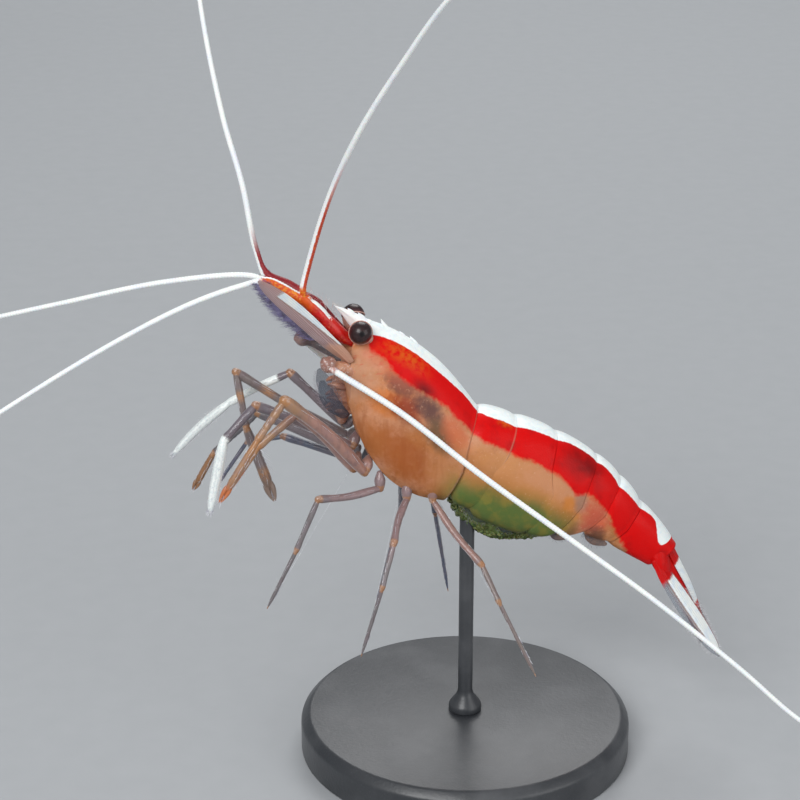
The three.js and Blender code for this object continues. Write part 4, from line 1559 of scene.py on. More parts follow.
@dataclass
class Abdomen:
    """The six rings of the abdomen with their flaps, and the body under them."""

    livery: Material
    shape: AbdomenShape = ABDOMEN
    crown: float = 0.28  # how far a ring swells between its joints
    wall: float = 0.07  # a ring's thickness
    tuck: float = 0.14  # how far a ring reaches ahead, in joints
    lap: float = 0.09  # how far a ring reaches behind, in joints
    drops: tuple[float, ...] = (0.5, 1.0, 0.9, 0.6, 0.1, 0.0)  # how far each ring's flaps hang

    def ring(self, number: int) -> None:
        """One ring: its back tucks under the one before it, and its flap hangs rounded below.

        Args:
            number: Its number from the front, 1 to 6.
        """
        work = Workpiece(f"ring_{number}_shell")
        last = number == len(self.shape.joints) - 1
        half_turn = pi if last else radians(148)

        def place(u: float, v: float) -> Spot:
            """The ring's spot at shares round it and back."""
            angle = mix(-half_turn, half_turn, u)
            low = ease(abs(degrees(angle)), 60, 115)
            ahead = mix(self.tuck, 0.42 if number == 2 else 0.04, low)
            behind = mix(self.lap, 0.34 if number == 2 else 0.1, low)
            count = mix(number - 1 - ahead, number + behind, v)
            if number == 1:
                count = max(count, -0.25)
            round_off = 0.0
            if not last:
                reach = abs(2 * v - 1)
                round_off = 0.2 * reach**4 * ease(abs(angle), 1.5, half_turn)
            share = min(1.0, max(0.0, count - (number - 1)))
            swell = self.crown * sin(pi * share) ** 0.5 if 0 < share < 1 else 0.0
            lift = mix(-0.1, 0.13, ease(v, 0.0, 0.35)) + (0.12 * low if number == 2 else 0.0)
            hem = 0.02 * bell(v, 0.97, 0.05)
            turned = angle * (1 - round_off)
            point, depth = self.shape.point(count, turned, lift + hem, swell)
            hang = self.drops[number - 1] * ease(abs(degrees(turned)), 95, 135)
            rise = Lean(0, 0, self.shape.at(count).pitch).heading(0, 0, 1)
            point -= rise * hang * (1 - (2 * v - 1) ** 4)
            along = CARAPACE.front + self.shape.length(count)
            girth = ABDOMEN_GIRTH(max(count, 0.0), turned)
            edge = (1 - v) * (1 + ahead + behind) * 3.6
            return trunk_spot(point, along, girth, depth, edge)

        work.skin(112, 34, place)
        work.shell(self.wall)
        work.done(self.livery, Slot.BAND, [f"abdomen_{number}"], turn_out=False)

    def core(self) -> None:
        """The body under the rings, with the brood's room below it."""
        work = Workpiece("abdomen_core")

        def place(u: float, v: float) -> Spot:
            """The core's spot at shares round it and back."""
            angle, count = mix(-pi, pi, u), mix(-0.3, 6.05, v)
            joint = self.shape.at(count)
            full = sqrt(max(0.0, 1 - abs(2 * v - 1) ** 14))
            floor = mix(0.62, 0.96, ease(count, 4.6, 5.4)) * joint.depth
            out, up, _ = section(angle, 0.95, 0.6)
            height = -0.45 - (1 - up) / 2 * (floor - 0.45)
            middle = -(floor + 0.45) / 2
            height = middle + (height - middle) * full
            lean = Lean(joint.x, joint.z, joint.pitch)
            point = lean.point(0, (joint.half - 0.5) * out * full, height)
            along = CARAPACE.front + self.shape.length(count)
            return trunk_spot(point, along, min(ABDOMEN_GIRTH(max(count, 0), angle), 7.2), -height)

        work.skin(48, 90, place)
        work.done(self.livery, Slot.BAND)

    def build(self) -> None:
        """Makes the rings and the core."""
        for number in range(1, len(self.shape.joints)):
            self.ring(number)
        self.core()


@dataclass(frozen=True)
class Blade:
    """A thin blade of the tail or head: a course in a leaning frame, flat across."""

    course: tuple[Row, ...]  # places along, out from the middle and up in the frame, with half widths
    tilt: float = 0.0  # degrees that its outer edge rises above its inner one
    thick: float = 0.5  # its full thickness at the middle
    rib: float = 0.07  # how far its ribs stand out

    def line(self, frame: Lean, side: float) -> Course:
        """Its centre line on one side of the animal.

        Args:
            frame: The leaning frame that its places are given in.
            side: The side's sign.

        Returns:
            The course.
        """
        points, wide = laid_out(self.course, frame, side)
        turn = radians(self.tilt)
        across = frame.heading(0, side * cos(turn), sin(turn))
        deep = Profile(((0, self.thick / 2), (0.6, self.thick * 0.4), (1, self.thick * 0.2)))
        return Course(points, lambda share: max(0.08, wide(share)), deep, across)

    def build(
        self, name: str, frame: Lean, side: float, finish: Material, slot: Slot,
        nodes: Sequence[str],
    ) -> Course:
        """Makes the blade with a stout rib down its middle and finer ones beside it.

        Args:
            name: Its name.
            frame: The leaning frame that its places are given in.
            side: The side's sign.
            finish: Its material.
            slot: The record's slot.
            nodes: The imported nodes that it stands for.

        Returns:
            Its course, for the fringes.
        """
        course = self.line(frame, side)
        work = Workpiece(name)

        def relief(share: float, angle: float) -> float:
            """How far the ribs stand out."""
            across = sin(angle)
            ribs = bell(across, 0, 0.1) + 0.6 * bell(abs(across), 0.55, 0.08)
            return self.rib * ribs * (1 - share) * (abs(cos(angle)) ** 0.3)

        def paint(mm: float, angle: float) -> Triple:
            """What the film reads: along, across, up."""
            return mm, side * sin(angle), cos(angle)

        work.tube(course, 48, 56, paint, 0.8, (0.5, 0.7), relief)
        work.done(finish, slot, nodes)
        return course


def fringe(
    brush: Brush, course: Course, angles: tuple[float, ...], span: tuple[float, float], count: int,
    long: float, lean: float, seed: int, thick: float = 0.035, droop: Vector = Vector((0, 0, 0)),
) -> None:
    """Plants a fringe of hairs along the edges of a course.

    Args:
        brush: The brush that it joins.
        course: What it grows on.
        angles: The turns round the course at which its rows stand.
        span: The shares of the course between which it grows.
        count: How many hairs each row has.
        long: How long they are, in mm.
        lean: How far they lean towards the tip, 0 to 1.
        seed: What its small irregularities start from.
        thick: How thick a hair is.
        droop: How its tips bend.
    """
    chance = random.Random(seed)
    for row, angle in enumerate(angles):
        for index in range(count):
            share = mix(*span, (index + chance.random() * 0.8) / count)
            turn = angle + chance.gauss(0, 0.12)
            _, ahead, _, _ = course.centre(share)
            way = course.way_out(share, turn) * (1 - lean) + ahead * lean
            way += Vector((chance.gauss(0, 0.06), chance.gauss(0, 0.06), chance.gauss(0, 0.06)))
            size = long * chance.uniform(0.7, 1.1) * (0.55 + 0.45 * sin(pi * min(1, share * 1.1)))
            root = course.surface(share, turn, -0.02)
            skin = (0.02 + 0.95 * share, (row + 0.5) / len(angles))
            brush.add(root, way, size, skin, thick, droop + ahead * chance.uniform(-0.1, 0.15))


@dataclass
class TailFan:
    """The telson and the four blades beside it, with their fringes."""

    telson: Blade = Blade(
        ((-0.3, 0, -0.55, 1.35), (-2.5, 0, -0.4, 1.3), (-5.5, 0, -0.2, 1.02), (-8.8, 0, -0.2, 0.68),
         (-10.0, 0, -0.25, 0.4)),
        tilt=-13,
        thick=0.9,
    )
    inner: Blade = Blade(
        ((-0.2, 0.95, -1.2, 0.6), (-2.0, 1.05, -1.05, 1.0), (-5.0, 1.2, -1.0, 1.15),
         (-8.5, 1.35, -1.05, 0.95), (-10.6, 1.45, -1.1, 0.65), (-11.4, 1.5, -1.1, 0.35)),
        tilt=-36,
    )
    outer: Blade = Blade(
        ((-0.5, 1.9, -2.3, 0.6), (-2.2, 2.3, -2.05, 0.95), (-5.0, 2.55, -1.6, 1.2),
         (-8.6, 2.75, -0.95, 1.2), (-11.6, 2.85, -0.4, 0.85), (-12.9, 2.9, -0.15, 0.35)),
        tilt=-48,
    )

    def build(self) -> None:
        """Makes the blades, their finishes and their fringes."""
        scarlet, wine = (0.58, 0.0, 0.0), (0.25, 0.004, 0.006)
        telson = Film("telson_film", scarlet, wine, 8.0, 0.3, 0.9, 2.0, 7.6, clear=0.95, rib=wine)
        outer = Film(
            "outer_blade_film", scarlet, (0.24, 0.28, 0.34), 2.6, -0.3, 0.6, 2.45, 14.0,
            clear=0.35, rib=(0.4, 0.42, 0.46),
        )
        inner = Film(
            "inner_blade_film", scarlet, (0.33, 0.08, 0.04), 6.0, -0.2, 0.35, 7.0, 12.0, clear=0.85,
            rib=wine,
        )
        brush = Brush("tail_fan_fringe")
        course = self.telson.build("telson_blade", FAN, 1, telson.build(), Slot.BAND, ["telson"])
        fringe(brush, course, EDGES, (0.86, 1.0), 14, 1.0, 0.7, 3)
        finishes = {"inner": inner.build(), "outer": outer.build()}
        stem = Mottled(
            "uropod_stem_shell", scarlet, (0.5, 0.0, 0.0), (0.6, 0.0, 0.0), gloss=0.05
        ).build()
        for seed, side in enumerate(Side):
            places = ((2.0, 0.3, -1.5), (0.5, 0.7, -1.7), (-1.0, 1.3, -1.85), (-2.6, 1.85, -1.9))
            points = [FAN.point(along, side.value * out, up) for along, out, up in places]
            wide = Profile(((0, 0.5), (0.35, 1.0), (0.7, 1.15), (1, 0.85)))
            deep = Profile(((0, 0.6), (0.4, 0.95), (0.7, 0.85), (1, 0.35)))
            work = Workpiece(f"uropod_stem_{side.word}")
            work.tube(Course(points, wide, deep, FAN.heading(0, side.value * 0.8, -0.6)), 30, 34)
            work.done(stem, Slot.BAND)
            for part, blade in (("inner", self.inner), ("outer", self.outer)):
                name = f"uropod_{side.word}_{part}"
                course = blade.build(
                    f"{name}_blade", FAN, side.value, finishes[part], Slot.WHITE, [name]
                )
                fringe(brush, course, EDGES, (0.35, 1.0), 80, 0.9, 0.45, 11 + seed)
        bristle = Bristle("fan_bristle", (0.32, 0.3, 0.32), (0.75, 0.75, 0.78))
        brush.done(bristle.build(), Slot.GLASSY)


# Under the tail


@dataclass
class Brood:
    """The mass of eggs under the abdomen, bead by bead, and the swimmerets that hold it."""

    front: float = 0.35  # its ends, in joints
    back: float = 4.35
    width: float = 0.56  # its share of the abdomen's width
    roof: float = 0.6  # its top and bottom, as shares of the abdomen's depth
    floor: float = 1.34
    ends: float = 0.2  # how full its ends are, 0 to 1
    egg: float = 0.33  # an egg's radius
    gap: float = 0.6  # the way from egg to egg
    seed: int = 5  # what its small irregularities start from

    def point(self, share: float, angle: float, grown: float = 0.0) -> Vector:
        """A point of the brood's rounded outside.

        Args:
            share: How far back, 0 to 1.
            angle: The turn from its top, in radians.
            grown: How far outside its section.

        Returns:
            The point.
        """
        joint = ABDOMEN.at(mix(self.front, self.back, share))
        plump = self.ends + (1 - self.ends) * sqrt(max(0.0, 1 - (2 * share - 1) ** 4))
        out, up, _ = section(angle, 0.9, 0.9)
        half = joint.half * self.width * plump + grown
        tall = (self.floor - self.roof) / 2 * joint.depth * plump + grown
        middle = -(self.roof + self.floor) / 2 * joint.depth
        return Lean(joint.x, joint.z, joint.pitch).point(0, half * out, middle + tall * up)

    def mass(self, finish: Material) -> None:
        """The lumpy body that the beads sit in.

        Args:
            finish: Its material.
        """
        work = Workpiece("brood_mass")

        def place(u: float, v: float) -> Spot:
            """The mass's spot at shares round it and back."""
            share = min(1.0, max(0.0, (v - 0.04) / 0.92))
            point = self.point(share, FULL_TURN * u, -0.28)
            middle = (self.point(share, 0, -0.28) + self.point(share, pi, -0.28)) / 2
            close = min(1.0, v / 0.04, (1 - v) / 0.04)
            lump = 0.06 * noise.noise(point * 1.6)
            point = middle + (point - middle) * (close**0.5) * (1 + lump)
            return Spot(point, (0.5 + lump * 4, 0.0, 0.0))

        work.skin(40, 60, place)
        work.done(finish, Slot.EGGS)

    def beads(self, finish: Material) -> None:
        """Sets the eggs side by side over the brood's surface.

        Args:
            finish: Their material.
        """
        chance = random.Random(self.seed)
        spots: list[Vector] = []
        rows = 30
        for row in range(rows):
            share = (row + 0.5) / rows
            ring = [self.point(share, FULL_TURN * step / 40) for step in range(40)]
            girth = sum((b - a).length for a, b in zip(ring, ring[1:] + ring[:1]))
            number = max(5, round(girth / self.gap))
            for index in range(number):
                turn = FULL_TURN * (index + 0.5 * (row % 2) + chance.uniform(-0.12, 0.12)) / number
                wander = chance.uniform(-0.12, 0.12) / rows
                spots.append(self.point(share + wander, turn, chance.uniform(-0.42, -0.36)))
        work = Workpiece("egg_beads")
        bmesh.ops.create_uvsphere(work.bm, u_segments=8, v_segments=6, radius=self.egg)
        for verts, spot in zip(multiply(work.bm, len(spots)), spots):
            shade, size = chance.random(), chance.uniform(0.9, 1.08)
            lean = Matrix.Rotation(
                chance.uniform(0, 3), 3, Vector((1, chance.random(), 0.4)).normalized()
            )
            lean @= Matrix.Diagonal((size, size, size * chance.uniform(1.0, 1.2)))
            for vert in verts:
                vert[work.paint] = (shade, vert.co.z / self.egg, 0.0)
                vert.co = spot + lean @ vert.co
        work.done(finish, Slot.EGGS, ["egg_mass"], turn_out=False)

    def swimmerets(self, finishes: Sequence[Material], bristle: Material) -> None:
        """The pairs of thin paddles, each a stem with two fringed blades.

        Args:
            finishes: The materials of the front three pairs, darkened as painted shade under the brood,
                and of the rest.
            bristle: The fringes' material.
        """
        brush = Brush("swimmeret_fringe")
        for number in range(1, 6):
            for side in Side:
                work = Workpiece(f"swimmeret_{number}_{side.word}")
                lower = 0.17 if number == 4 else 0.0
                blades = ((1.1 + lower, 0.0, 0.8), (1.04 + lower, -0.16, 0.6))
                for part, (reach, spread, broad) in enumerate(blades):
                    places = (
                        (0.62, 0.1, 0.4), (0.82, 0.05, 0.6), (reach - 0.12, 0.22, 1.0),
                        (reach, 0.5, 0.8), (reach - 0.01, 0.74, 0.25),
                    )
                    points = []
                    for share, back, _ in places:
                        joint = ABDOMEN.at(number - 0.5 + back - part * 0.1)
                        lean = Lean(joint.x, joint.z, joint.pitch)
                        out = side.value * (0.66 + spread) * joint.half
                        points.append(lean.point(0, out, -share * joint.depth))
                    wide = Profile(tuple((i / 4, broad * size) for i, (_, _, size) in enumerate(places)))
                    course = Course(
                        points, wide, lambda share: 0.2 - 0.1 * share, lean.heading(1, 0, 0)
                    )
                    work.tube(course, 20, 26, lens=0.5)
                    fringe(brush, course, EDGES, (0.45, 1.0), 26, 0.8, 0.5, number * 7 + part, 0.03)
                finish = finishes[number > 3]
                work.done(finish, Slot.GLASSY, [f"pleopod_{number}_{side.word}"])
        brush.done(bristle, Slot.GLASSY)

    def build(self) -> None:
        """Makes the brood, the beads and the swimmerets."""
        bead = Bead().build()
        self.mass(bead)
        self.beads(bead)
        # The front pairs get painted shade: a dark olive copy of the swimmeret finish, for the brood's
        # shadow over them.
        shaded = Mottled(
            "front_swimmeret_shadowed_shell", (0.07, 0.1, 0.05), (0.045, 0.06, 0.05), (0.12, 0.14, 0.08),
            alpha=0.85,
        )
        clear = Mottled(
            "swimmeret_shell", (0.24, 0.15, 0.12), (0.12, 0.09, 0.09), (0.34, 0.24, 0.2), alpha=0.8
        )
        bristle = Bristle("swimmeret_bristle", (0.12, 0.12, 0.17), (0.4, 0.38, 0.42)).build()
        self.swimmerets((shaded.build(), clear.build()), bristle)


# The head


def stalk_course(rows: Sequence[Row], side: float, steps: int = 96) -> Course:
    """A stalk's course from places along, out and up on the carapace, with half widths."""
    points, wide = laid_out(rows, HEAD, side)
    return Course(points, wide, steps=steps)


@dataclass
class Eyes:
    """The two stalked eyes: a faceted ball in a rimmed cup on a short stalk."""

    radius: float = 1.12  # a ball's radius
    forward: float = 14.7  # a ball's middle on the head, with out and up
    right_ahead: float = 0.4  # how much further forward the right one stands
    out: float = 2.15
    up: float = -1.1

    def stance(self, side: Side) -> tuple[Vector, Vector]:
        """The middle of an eye and the way it looks: the right eye is rolled forward and up.

        Args:
            side: The eye's side.

        Returns:
            The middle and the direction.
        """
        gaze = (0.13, 1, 0.2) if side is Side.LEFT else (0.55, -0.62, 0.62)
        forward = self.forward + (0 if side is Side.LEFT else self.right_ahead)
        return HEAD.point(forward, side.value * self.out, self.up), HEAD.heading(*gaze)

    def ball(self, side: Side, finish: Material) -> None:
        """One eyeball, its spot turned outwards.

        Args:
            side: The eye's side.
            finish: Its material.
        """
        work = Workpiece(f"eyeball_{side.word}")
        centre, gaze = self.stance(side)
        side_way = gaze.orthogonal().normalized()
        up_way = gaze.cross(side_way)

        def place(u: float, v: float) -> Spot:
            """The ball's spot at shares round its gaze and from it."""
            turned, angle = pi * v, FULL_TURN * u
            way = gaze * cos(turned) + (side_way * cos(angle) + up_way * sin(angle)) * sin(turned)
            return Spot(centre + way * self.radius, (turned, angle, 0.0))

        work.skin(48, 28, place)
        work.done(finish, Slot.EYE, [f"eye_{side.word}"])

    def cup(self, side: Side, finish: Material) -> None:
        """The eyestalk: a short stem that widens to a cup with a thin rim round the ball.

        Args:
            side: The eye's side.
            finish: Its material.
        """
        work = Workpiece(f"eyestalk_cup_{side.word}")
        centre, gaze = self.stance(side)
        root = HEAD.point(13.0, side.value * 0.8, -1.5)
        points = [root, root.lerp(centre, 0.45), centre - gaze * 0.95, centre - gaze * 0.3]
        wide = Profile(((0, 0.75), (0.35, 0.7), (0.62, 0.85), (0.85, 1.04), (1, 1.12)))
        work.tube(Course(points, wide, steps=40), 36, 26, caps=(0.3, 0.1))
        verts = bmesh.ops.create_circle(work.bm, segments=10, radius=0.055)["verts"]
        bmesh.ops.translate(work.bm, verts=verts, vec=(self.radius * 1.015, 0, 0))
        bmesh.ops.rotate(work.bm, verts=verts, matrix=Matrix.Rotation(pi / 2, 3, "X"))
        edges = list({edge for vert in verts for edge in vert.link_edges})
        bmesh.ops.spin(
            work.bm, geom=verts + edges, axis=(0, 0, 1), angle=FULL_TURN, steps=56, use_merge=True
        )
        ring = {vert for vert in work.bm.verts if vert.link_faces and abs(vert.co.z) < 0.06
                and abs(vert.co.xy.length - self.radius * 1.015) < 0.06}
        turn = Vector((0, 0, 1)).rotation_difference(gaze).to_matrix()
        for vert in ring:
            vert[work.paint] = (6.0, 0.0, 1.0)
            vert.co = centre + turn @ vert.co
        work.done(finish, Slot.SHELL, [f"eyestalk_{side.word}"])

    def build(self) -> None:
        """Makes both eyes."""
        ball = Eyeball().build()
        cup = Mottled(
            "eyestalk_shell", (0.55, 0.3, 0.24), (0.45, 0.16, 0.11), (0.8, 0.66, 0.6)
        ).build()
        for side in Side:
            self.ball(side, ball)
            self.cup(side, cup)


@dataclass
class Feelers:
    """The stalks of both pairs of feelers, the scales beside them, and the six whips."""

    antennule_left: tuple[Row, ...] = (
        (13.4, 1.1, -2.55, 0.3), (14.5, 1.15, -2.58, 0.46), (15.4, 1.2, -2.66, 0.68),
        (16.4, 1.25, -2.68, 0.8), (17.5, 1.3, -2.6, 0.8), (18.1, 1.3, -2.5, 0.7),
        (18.7, 1.3, -2.43, 0.76), (19.8, 1.3, -2.28, 0.68), (20.2, 1.3, -2.25, 0.58),
        (20.6, 1.3, -2.2, 0.62), (21.3, 1.3, -2.2, 0.52),
    )
    antennule_right: tuple[Row, ...] = (
        (13.6, 1.1, -3.1, 0.55), (15.5, 1.15, -2.98, 0.68), (17.0, 1.15, -2.75, 0.7),
        (18.1, 1.15, -2.5, 0.64), (18.9, 1.15, -2.42, 0.7), (20.1, 1.2, -2.55, 0.62),
        (20.5, 1.2, -2.62, 0.54), (20.9, 1.2, -2.66, 0.58), (21.6, 1.2, -2.72, 0.5),
    )
    antenna_left: tuple[Row, ...] = (
        (11.6, 1.2, -4.4, 0.8), (13.2, 1.9, -4.85, 0.75), (14.1, 2.5, -5.1, 0.68),
        (14.6, 2.8, -5.25, 0.62), (15.1, 3.0, -5.3, 0.82), (15.6, 3.15, -5.3, 0.7),
        (15.9, 3.2, -5.3, 0.4),
    )
    antenna_right: tuple[Row, ...] = (
        (11.6, 1.4, -4.6, 0.95), (13.6, 2.1, -5.0, 0.8), (15.2, 2.6, -5.6, 0.55),
        (16.3, 2.8, -6.0, 0.42), (17.0, 2.95, -6.3, 0.72), (17.6, 3.1, -6.45, 0.55),
    )
    scale: Blade = Blade(
        ((13.7, 2.3, -3.9, 0.6), (14.8, 2.45, -3.8, 1.05), (17.0, 2.6, -3.66, 1.32),
         (20.0, 2.65, -3.42, 1.5), (22.8, 2.7, -3.28, 1.4), (24.6, 2.75, -3.25, 1.0),
         (25.5, 2.8, -3.2, 0.45)),
        tilt=44,
        thick=0.42,
        rib=0.06,
    )

    def stalks(self, brush: Brush) -> None:
        """The antennules' and antennae's stalks, with their hairs.

        Args:
            brush: Takes their hairs.
        """
        upper = Mottled(
            "antennule_shell", (0.6, 0.006, 0.003), (0.45, 0.003, 0.004), (0.7, 0.12, 0.03),
            stripe=0.24, stripe_turn=0.15, stripe_start=4.8, stripe_end=7.5,
            tip=(0.66, 0.09, 0.004), tip_start=6.3,
        )
        # Painted shade: the far antennule's stalk is a darker copy of the near one's red.
        wine = Mottled(
            "shaded_far_antennule_shell", (0.32, 0.004, 0.012), (0.16, 0.003, 0.01), (0.6, 0.2, 0.16)
        )
        lower = Mottled(
            "antenna_shell", (0.56, 0.28, 0.17), (0.46, 0.2, 0.12), (0.85, 0.75, 0.72),
            tip=(0.3, 0.15, 0.12), tip_start=3.6,
        )
        # Painted shade: the far antenna's stalk is a darker copy of the near one's tan.
        shaded_far_antenna = Mottled(
            "shaded_far_antenna_shell", (0.16, 0.12, 0.12), (0.1, 0.08, 0.09), (0.3, 0.24, 0.24),
            tip=(0.32, 0.19, 0.17), tip_start=5.6, alpha=0.85,
        )
        red, knob = (upper.build(), wine.build()), (lower.build(), shaded_far_antenna.build())
        pairs = (
            ("antennule", red, Slot.BAND, (self.antennule_left, self.antennule_right)),
            ("antenna", knob, Slot.LIMB, (self.antenna_left, self.antenna_right)),
        )
        for name, finishes, slot, pair in pairs:
            for side, rows, finish in zip(Side, pair, finishes):
                course = stalk_course(rows, side.value)
                work = Workpiece(f"{name}_stalk_{side.word}")
                work.tube(course, 32, 70, caps=(0.3, 0.5))
                work.done(finish, slot, [f"{name}_{side.word}"])
                if name == "antennule":
                    number = 5 if side is Side.LEFT else 14
                    fringe(brush, course, (-0.25,), (0.3, 0.95), number, 1.1, 0.45, 21, 0.04)

    def scales(self, fringes: Brush) -> None:
        """The long clear scales with their streak, outer spine and fringe.

        Args:
            fringes: Takes their hairs.
        """
        film = Film(
            "scale_film", (0.64, 0.36, 0.26), (0.64, 0.45, 0.45), 2.8, 1.1, 0.02, 2.2, 10.2,
            streak_grow=0.05, streak_lean=-0.055, clear=0.7,
            edge=(0.36, 0.19, 0.15), rib=(0.27, 0.13, 0.11),
        ).build()
        root = self.scale.course[0][0]
        short = tuple(
            (mix(root, along, 0.9), out, up - 0.06 * (along - root), wide)
            for along, out, up, wide in self.scale.course
        )
        for side in Side:
            name = f"scaphocerite_{side.word}"
            blade = self.scale if side is Side.LEFT else replace(self.scale, course=short)
            course = blade.build(
                f"scale_blade_{side.word}", HEAD, side.value, film, Slot.GLASSY, [name]
            )
            inner = -pi / 2
            droop = Vector((0, 0, -0.12))
            fringe(fringes, course, (inner, inner - 0.15), (0.3, 1.0), 170, 1.9, 0.48, 31, 0.04, droop)
            fringe(fringes, course, (pi / 2,), (0.93, 1.0), 16, 1.1, 0.8, 33, 0.04)

    def whips(self) -> None:
        """The six long whips, finely ringed, some on a stout root."""
        plain = Enamel("whip_enamel", 0.3).build()
        for name, points, root, tip, club in WHIPS:
            curve = Course([Vector(point) for point in points], lambda share: 1.0, steps=160)

            def wide(share: float, length: float = curve.length) -> float:
                """Half the whip's width."""
                mm = share * length
                plain = mix(root, tip, share) / 2
                stout = mix(1.0, 0.0, ease(mm, club * 0.75, club * 1.55)) if club else 0.0
                return mix(plain, 0.55, stout)

            rings = round(curve.length / 0.3)
            course = Course(
                [Vector(point) for point in points], wide, across=Vector((0, 1, 0)), steps=rings * 2
            )

            def relief(share: float, angle: float, rings: int = rings) -> float:
                """The fine rings."""
                return 0.018 * cos(FULL_TURN * share * rings)

            work = Workpiece(f"{name}_whip")
            work.tube(course, 10, rings * 3 + 6, relief=relief, caps=(0.5, 1.2))
            flanks = FLANKS.get(name)
            finish = Enamel(f"{name}_enamel", 0.3, flanks).build() if flanks else plain
            work.done(finish, Slot.WHITE, [name])

    def build(self) -> None:
        """Makes the stalks, scales, whips and hairs."""
        brush, fringes = Brush("antennule_hairs"), Brush("scale_fringe")
        self.stalks(brush)
        self.scales(fringes)
        self.whips()
        brush.done(Bristle("stalk_bristle", (0.5, 0.3, 0.28), (0.85, 0.8, 0.78)).build(), Slot.BAND)
        violet = Bristle("scale_bristle", (0.05, 0.035, 0.09), (0.2, 0.17, 0.36), 0.8)
        fringes.done(violet.build(), Slot.GLASSY)


WHIPS: tuple[tuple[str, tuple[Triple, ...], float, float, float], ...] = (
    ("antennule_flagellum_left_inner", (
        (16.1, 1.4, 50.3), (16.25, 1.55, 51.25), (15.8, 1.7, 53.4), (13.9, 4.0, 60.9),
        (11.5, 8.0, 68.1), (8.0, 12.5, 75.6), (4.7, 17.0, 82.0), (0.2, 22.0, 88.1),
    ), 0.66, 0.4, 0.0),
    ("antennule_flagellum_left_outer", (
        (16.3, 1.3, 50.15), (17.2, 1.25, 50.66), (18.4, 1.1, 51.4), (19.9, 1.0, 52.05),
        (22.3, 1.3, 51.7), (26.9, 2.0, 50.4), (34.1, 4.0, 47.6), (44.9, 8.5, 42.8),
        (54.0, 12.5, 38.2),
    ), 0.6, 0.4, 3.6),
    ("antennule_flagellum_right_inner", (
        (16.7, -1.0, 50.1), (17.4, -0.75, 50.4), (19.7, -0.8, 51.5), (21.4, -1.0, 52.0),
        (29.4, -2.5, 51.1), (39.7, -5.0, 48.4), (52.3, -8.5, 44.8), (58.4, -10.0, 43.2),
    ), 0.6, 0.4, 0.0),
    ("antennule_flagellum_right_outer", (
        (16.5, -1.3, 50.1), (17.5, -1.35, 50.75), (19.5, -1.0, 51.95), (20.5, -1.2, 54.6),
        (21.6, -2.0, 60.8), (23.2, -4.0, 67.0), (24.9, -7.0, 77.4), (25.6, -12.0, 90.5),
    ), 0.64, 0.4, 3.4),
    ("antenna_flagellum_left", (
        (14.35, 3.35, 44.3), (13.7, 3.6, 43.8), (7.3, 5.0, 39.6), (-0.1, 7.0, 33.7),
        (-9.3, 10.0, 27.1), (-16.4, 13.0, 22.2), (-24.5, 16.0, 15.8), (-30.2, 18.0, 10.9),
        (-36.5, 20.5, 7.4), (-43.0, 23.5, 6.2),
    ), 0.66, 0.42, 0.0),
    ("antenna_flagellum_right", (
        (15.8, -3.7, 44.1), (14.0, -5.2, 41.9), (9.9, -9.0, 37.0), (3.0, -15.0, 30.2),
        (-5.5, -21.5, 23.0), (-14.5, -28.0, 16.2), (-22.5, -33.5, 10.9), (-27.6, -36.7, 7.3),
    ), 0.66, 0.42, 0.0),
)


GOLD: Colour = (0.78, 0.27, 0.01)
WINE: Colour = (0.25, 0.004, 0.012)
FLANKS: dict[str, tuple[Flank, ...]] = {
    "antenna_flagellum_left": (Flank(-1.0, 1.5, 0.0, 1.1, (0.5, 0.26, 0.22), (0.85, 0.75, 0.72)),),
    "antennule_flagellum_left_inner": (
        Flank(-1.0, 18.0, 15.0, -0.1, (0.5, 0.03, 0.008), ORANGE, 9.0),
        Flank(-1.0, 1.5, 0.0, 1.1, (0.66, 0.08, 0.005), GOLD),
    ),
    "antennule_flagellum_left_outer": (
        Flank(-1.0, 4.7, 150.0, 0.5, (0.66, 0.075, 0.004), GOLD),
    ),
    "antennule_flagellum_right_outer": (
        Flank(-1.0, 4.0, 10.0, 0.7, WINE, (0.35, 0.01, 0.01)),
        Flank(3.0, 9.5, 20.0, -0.1, WINE, (0.35, 0.01, 0.01), 4.0),
    ),
}


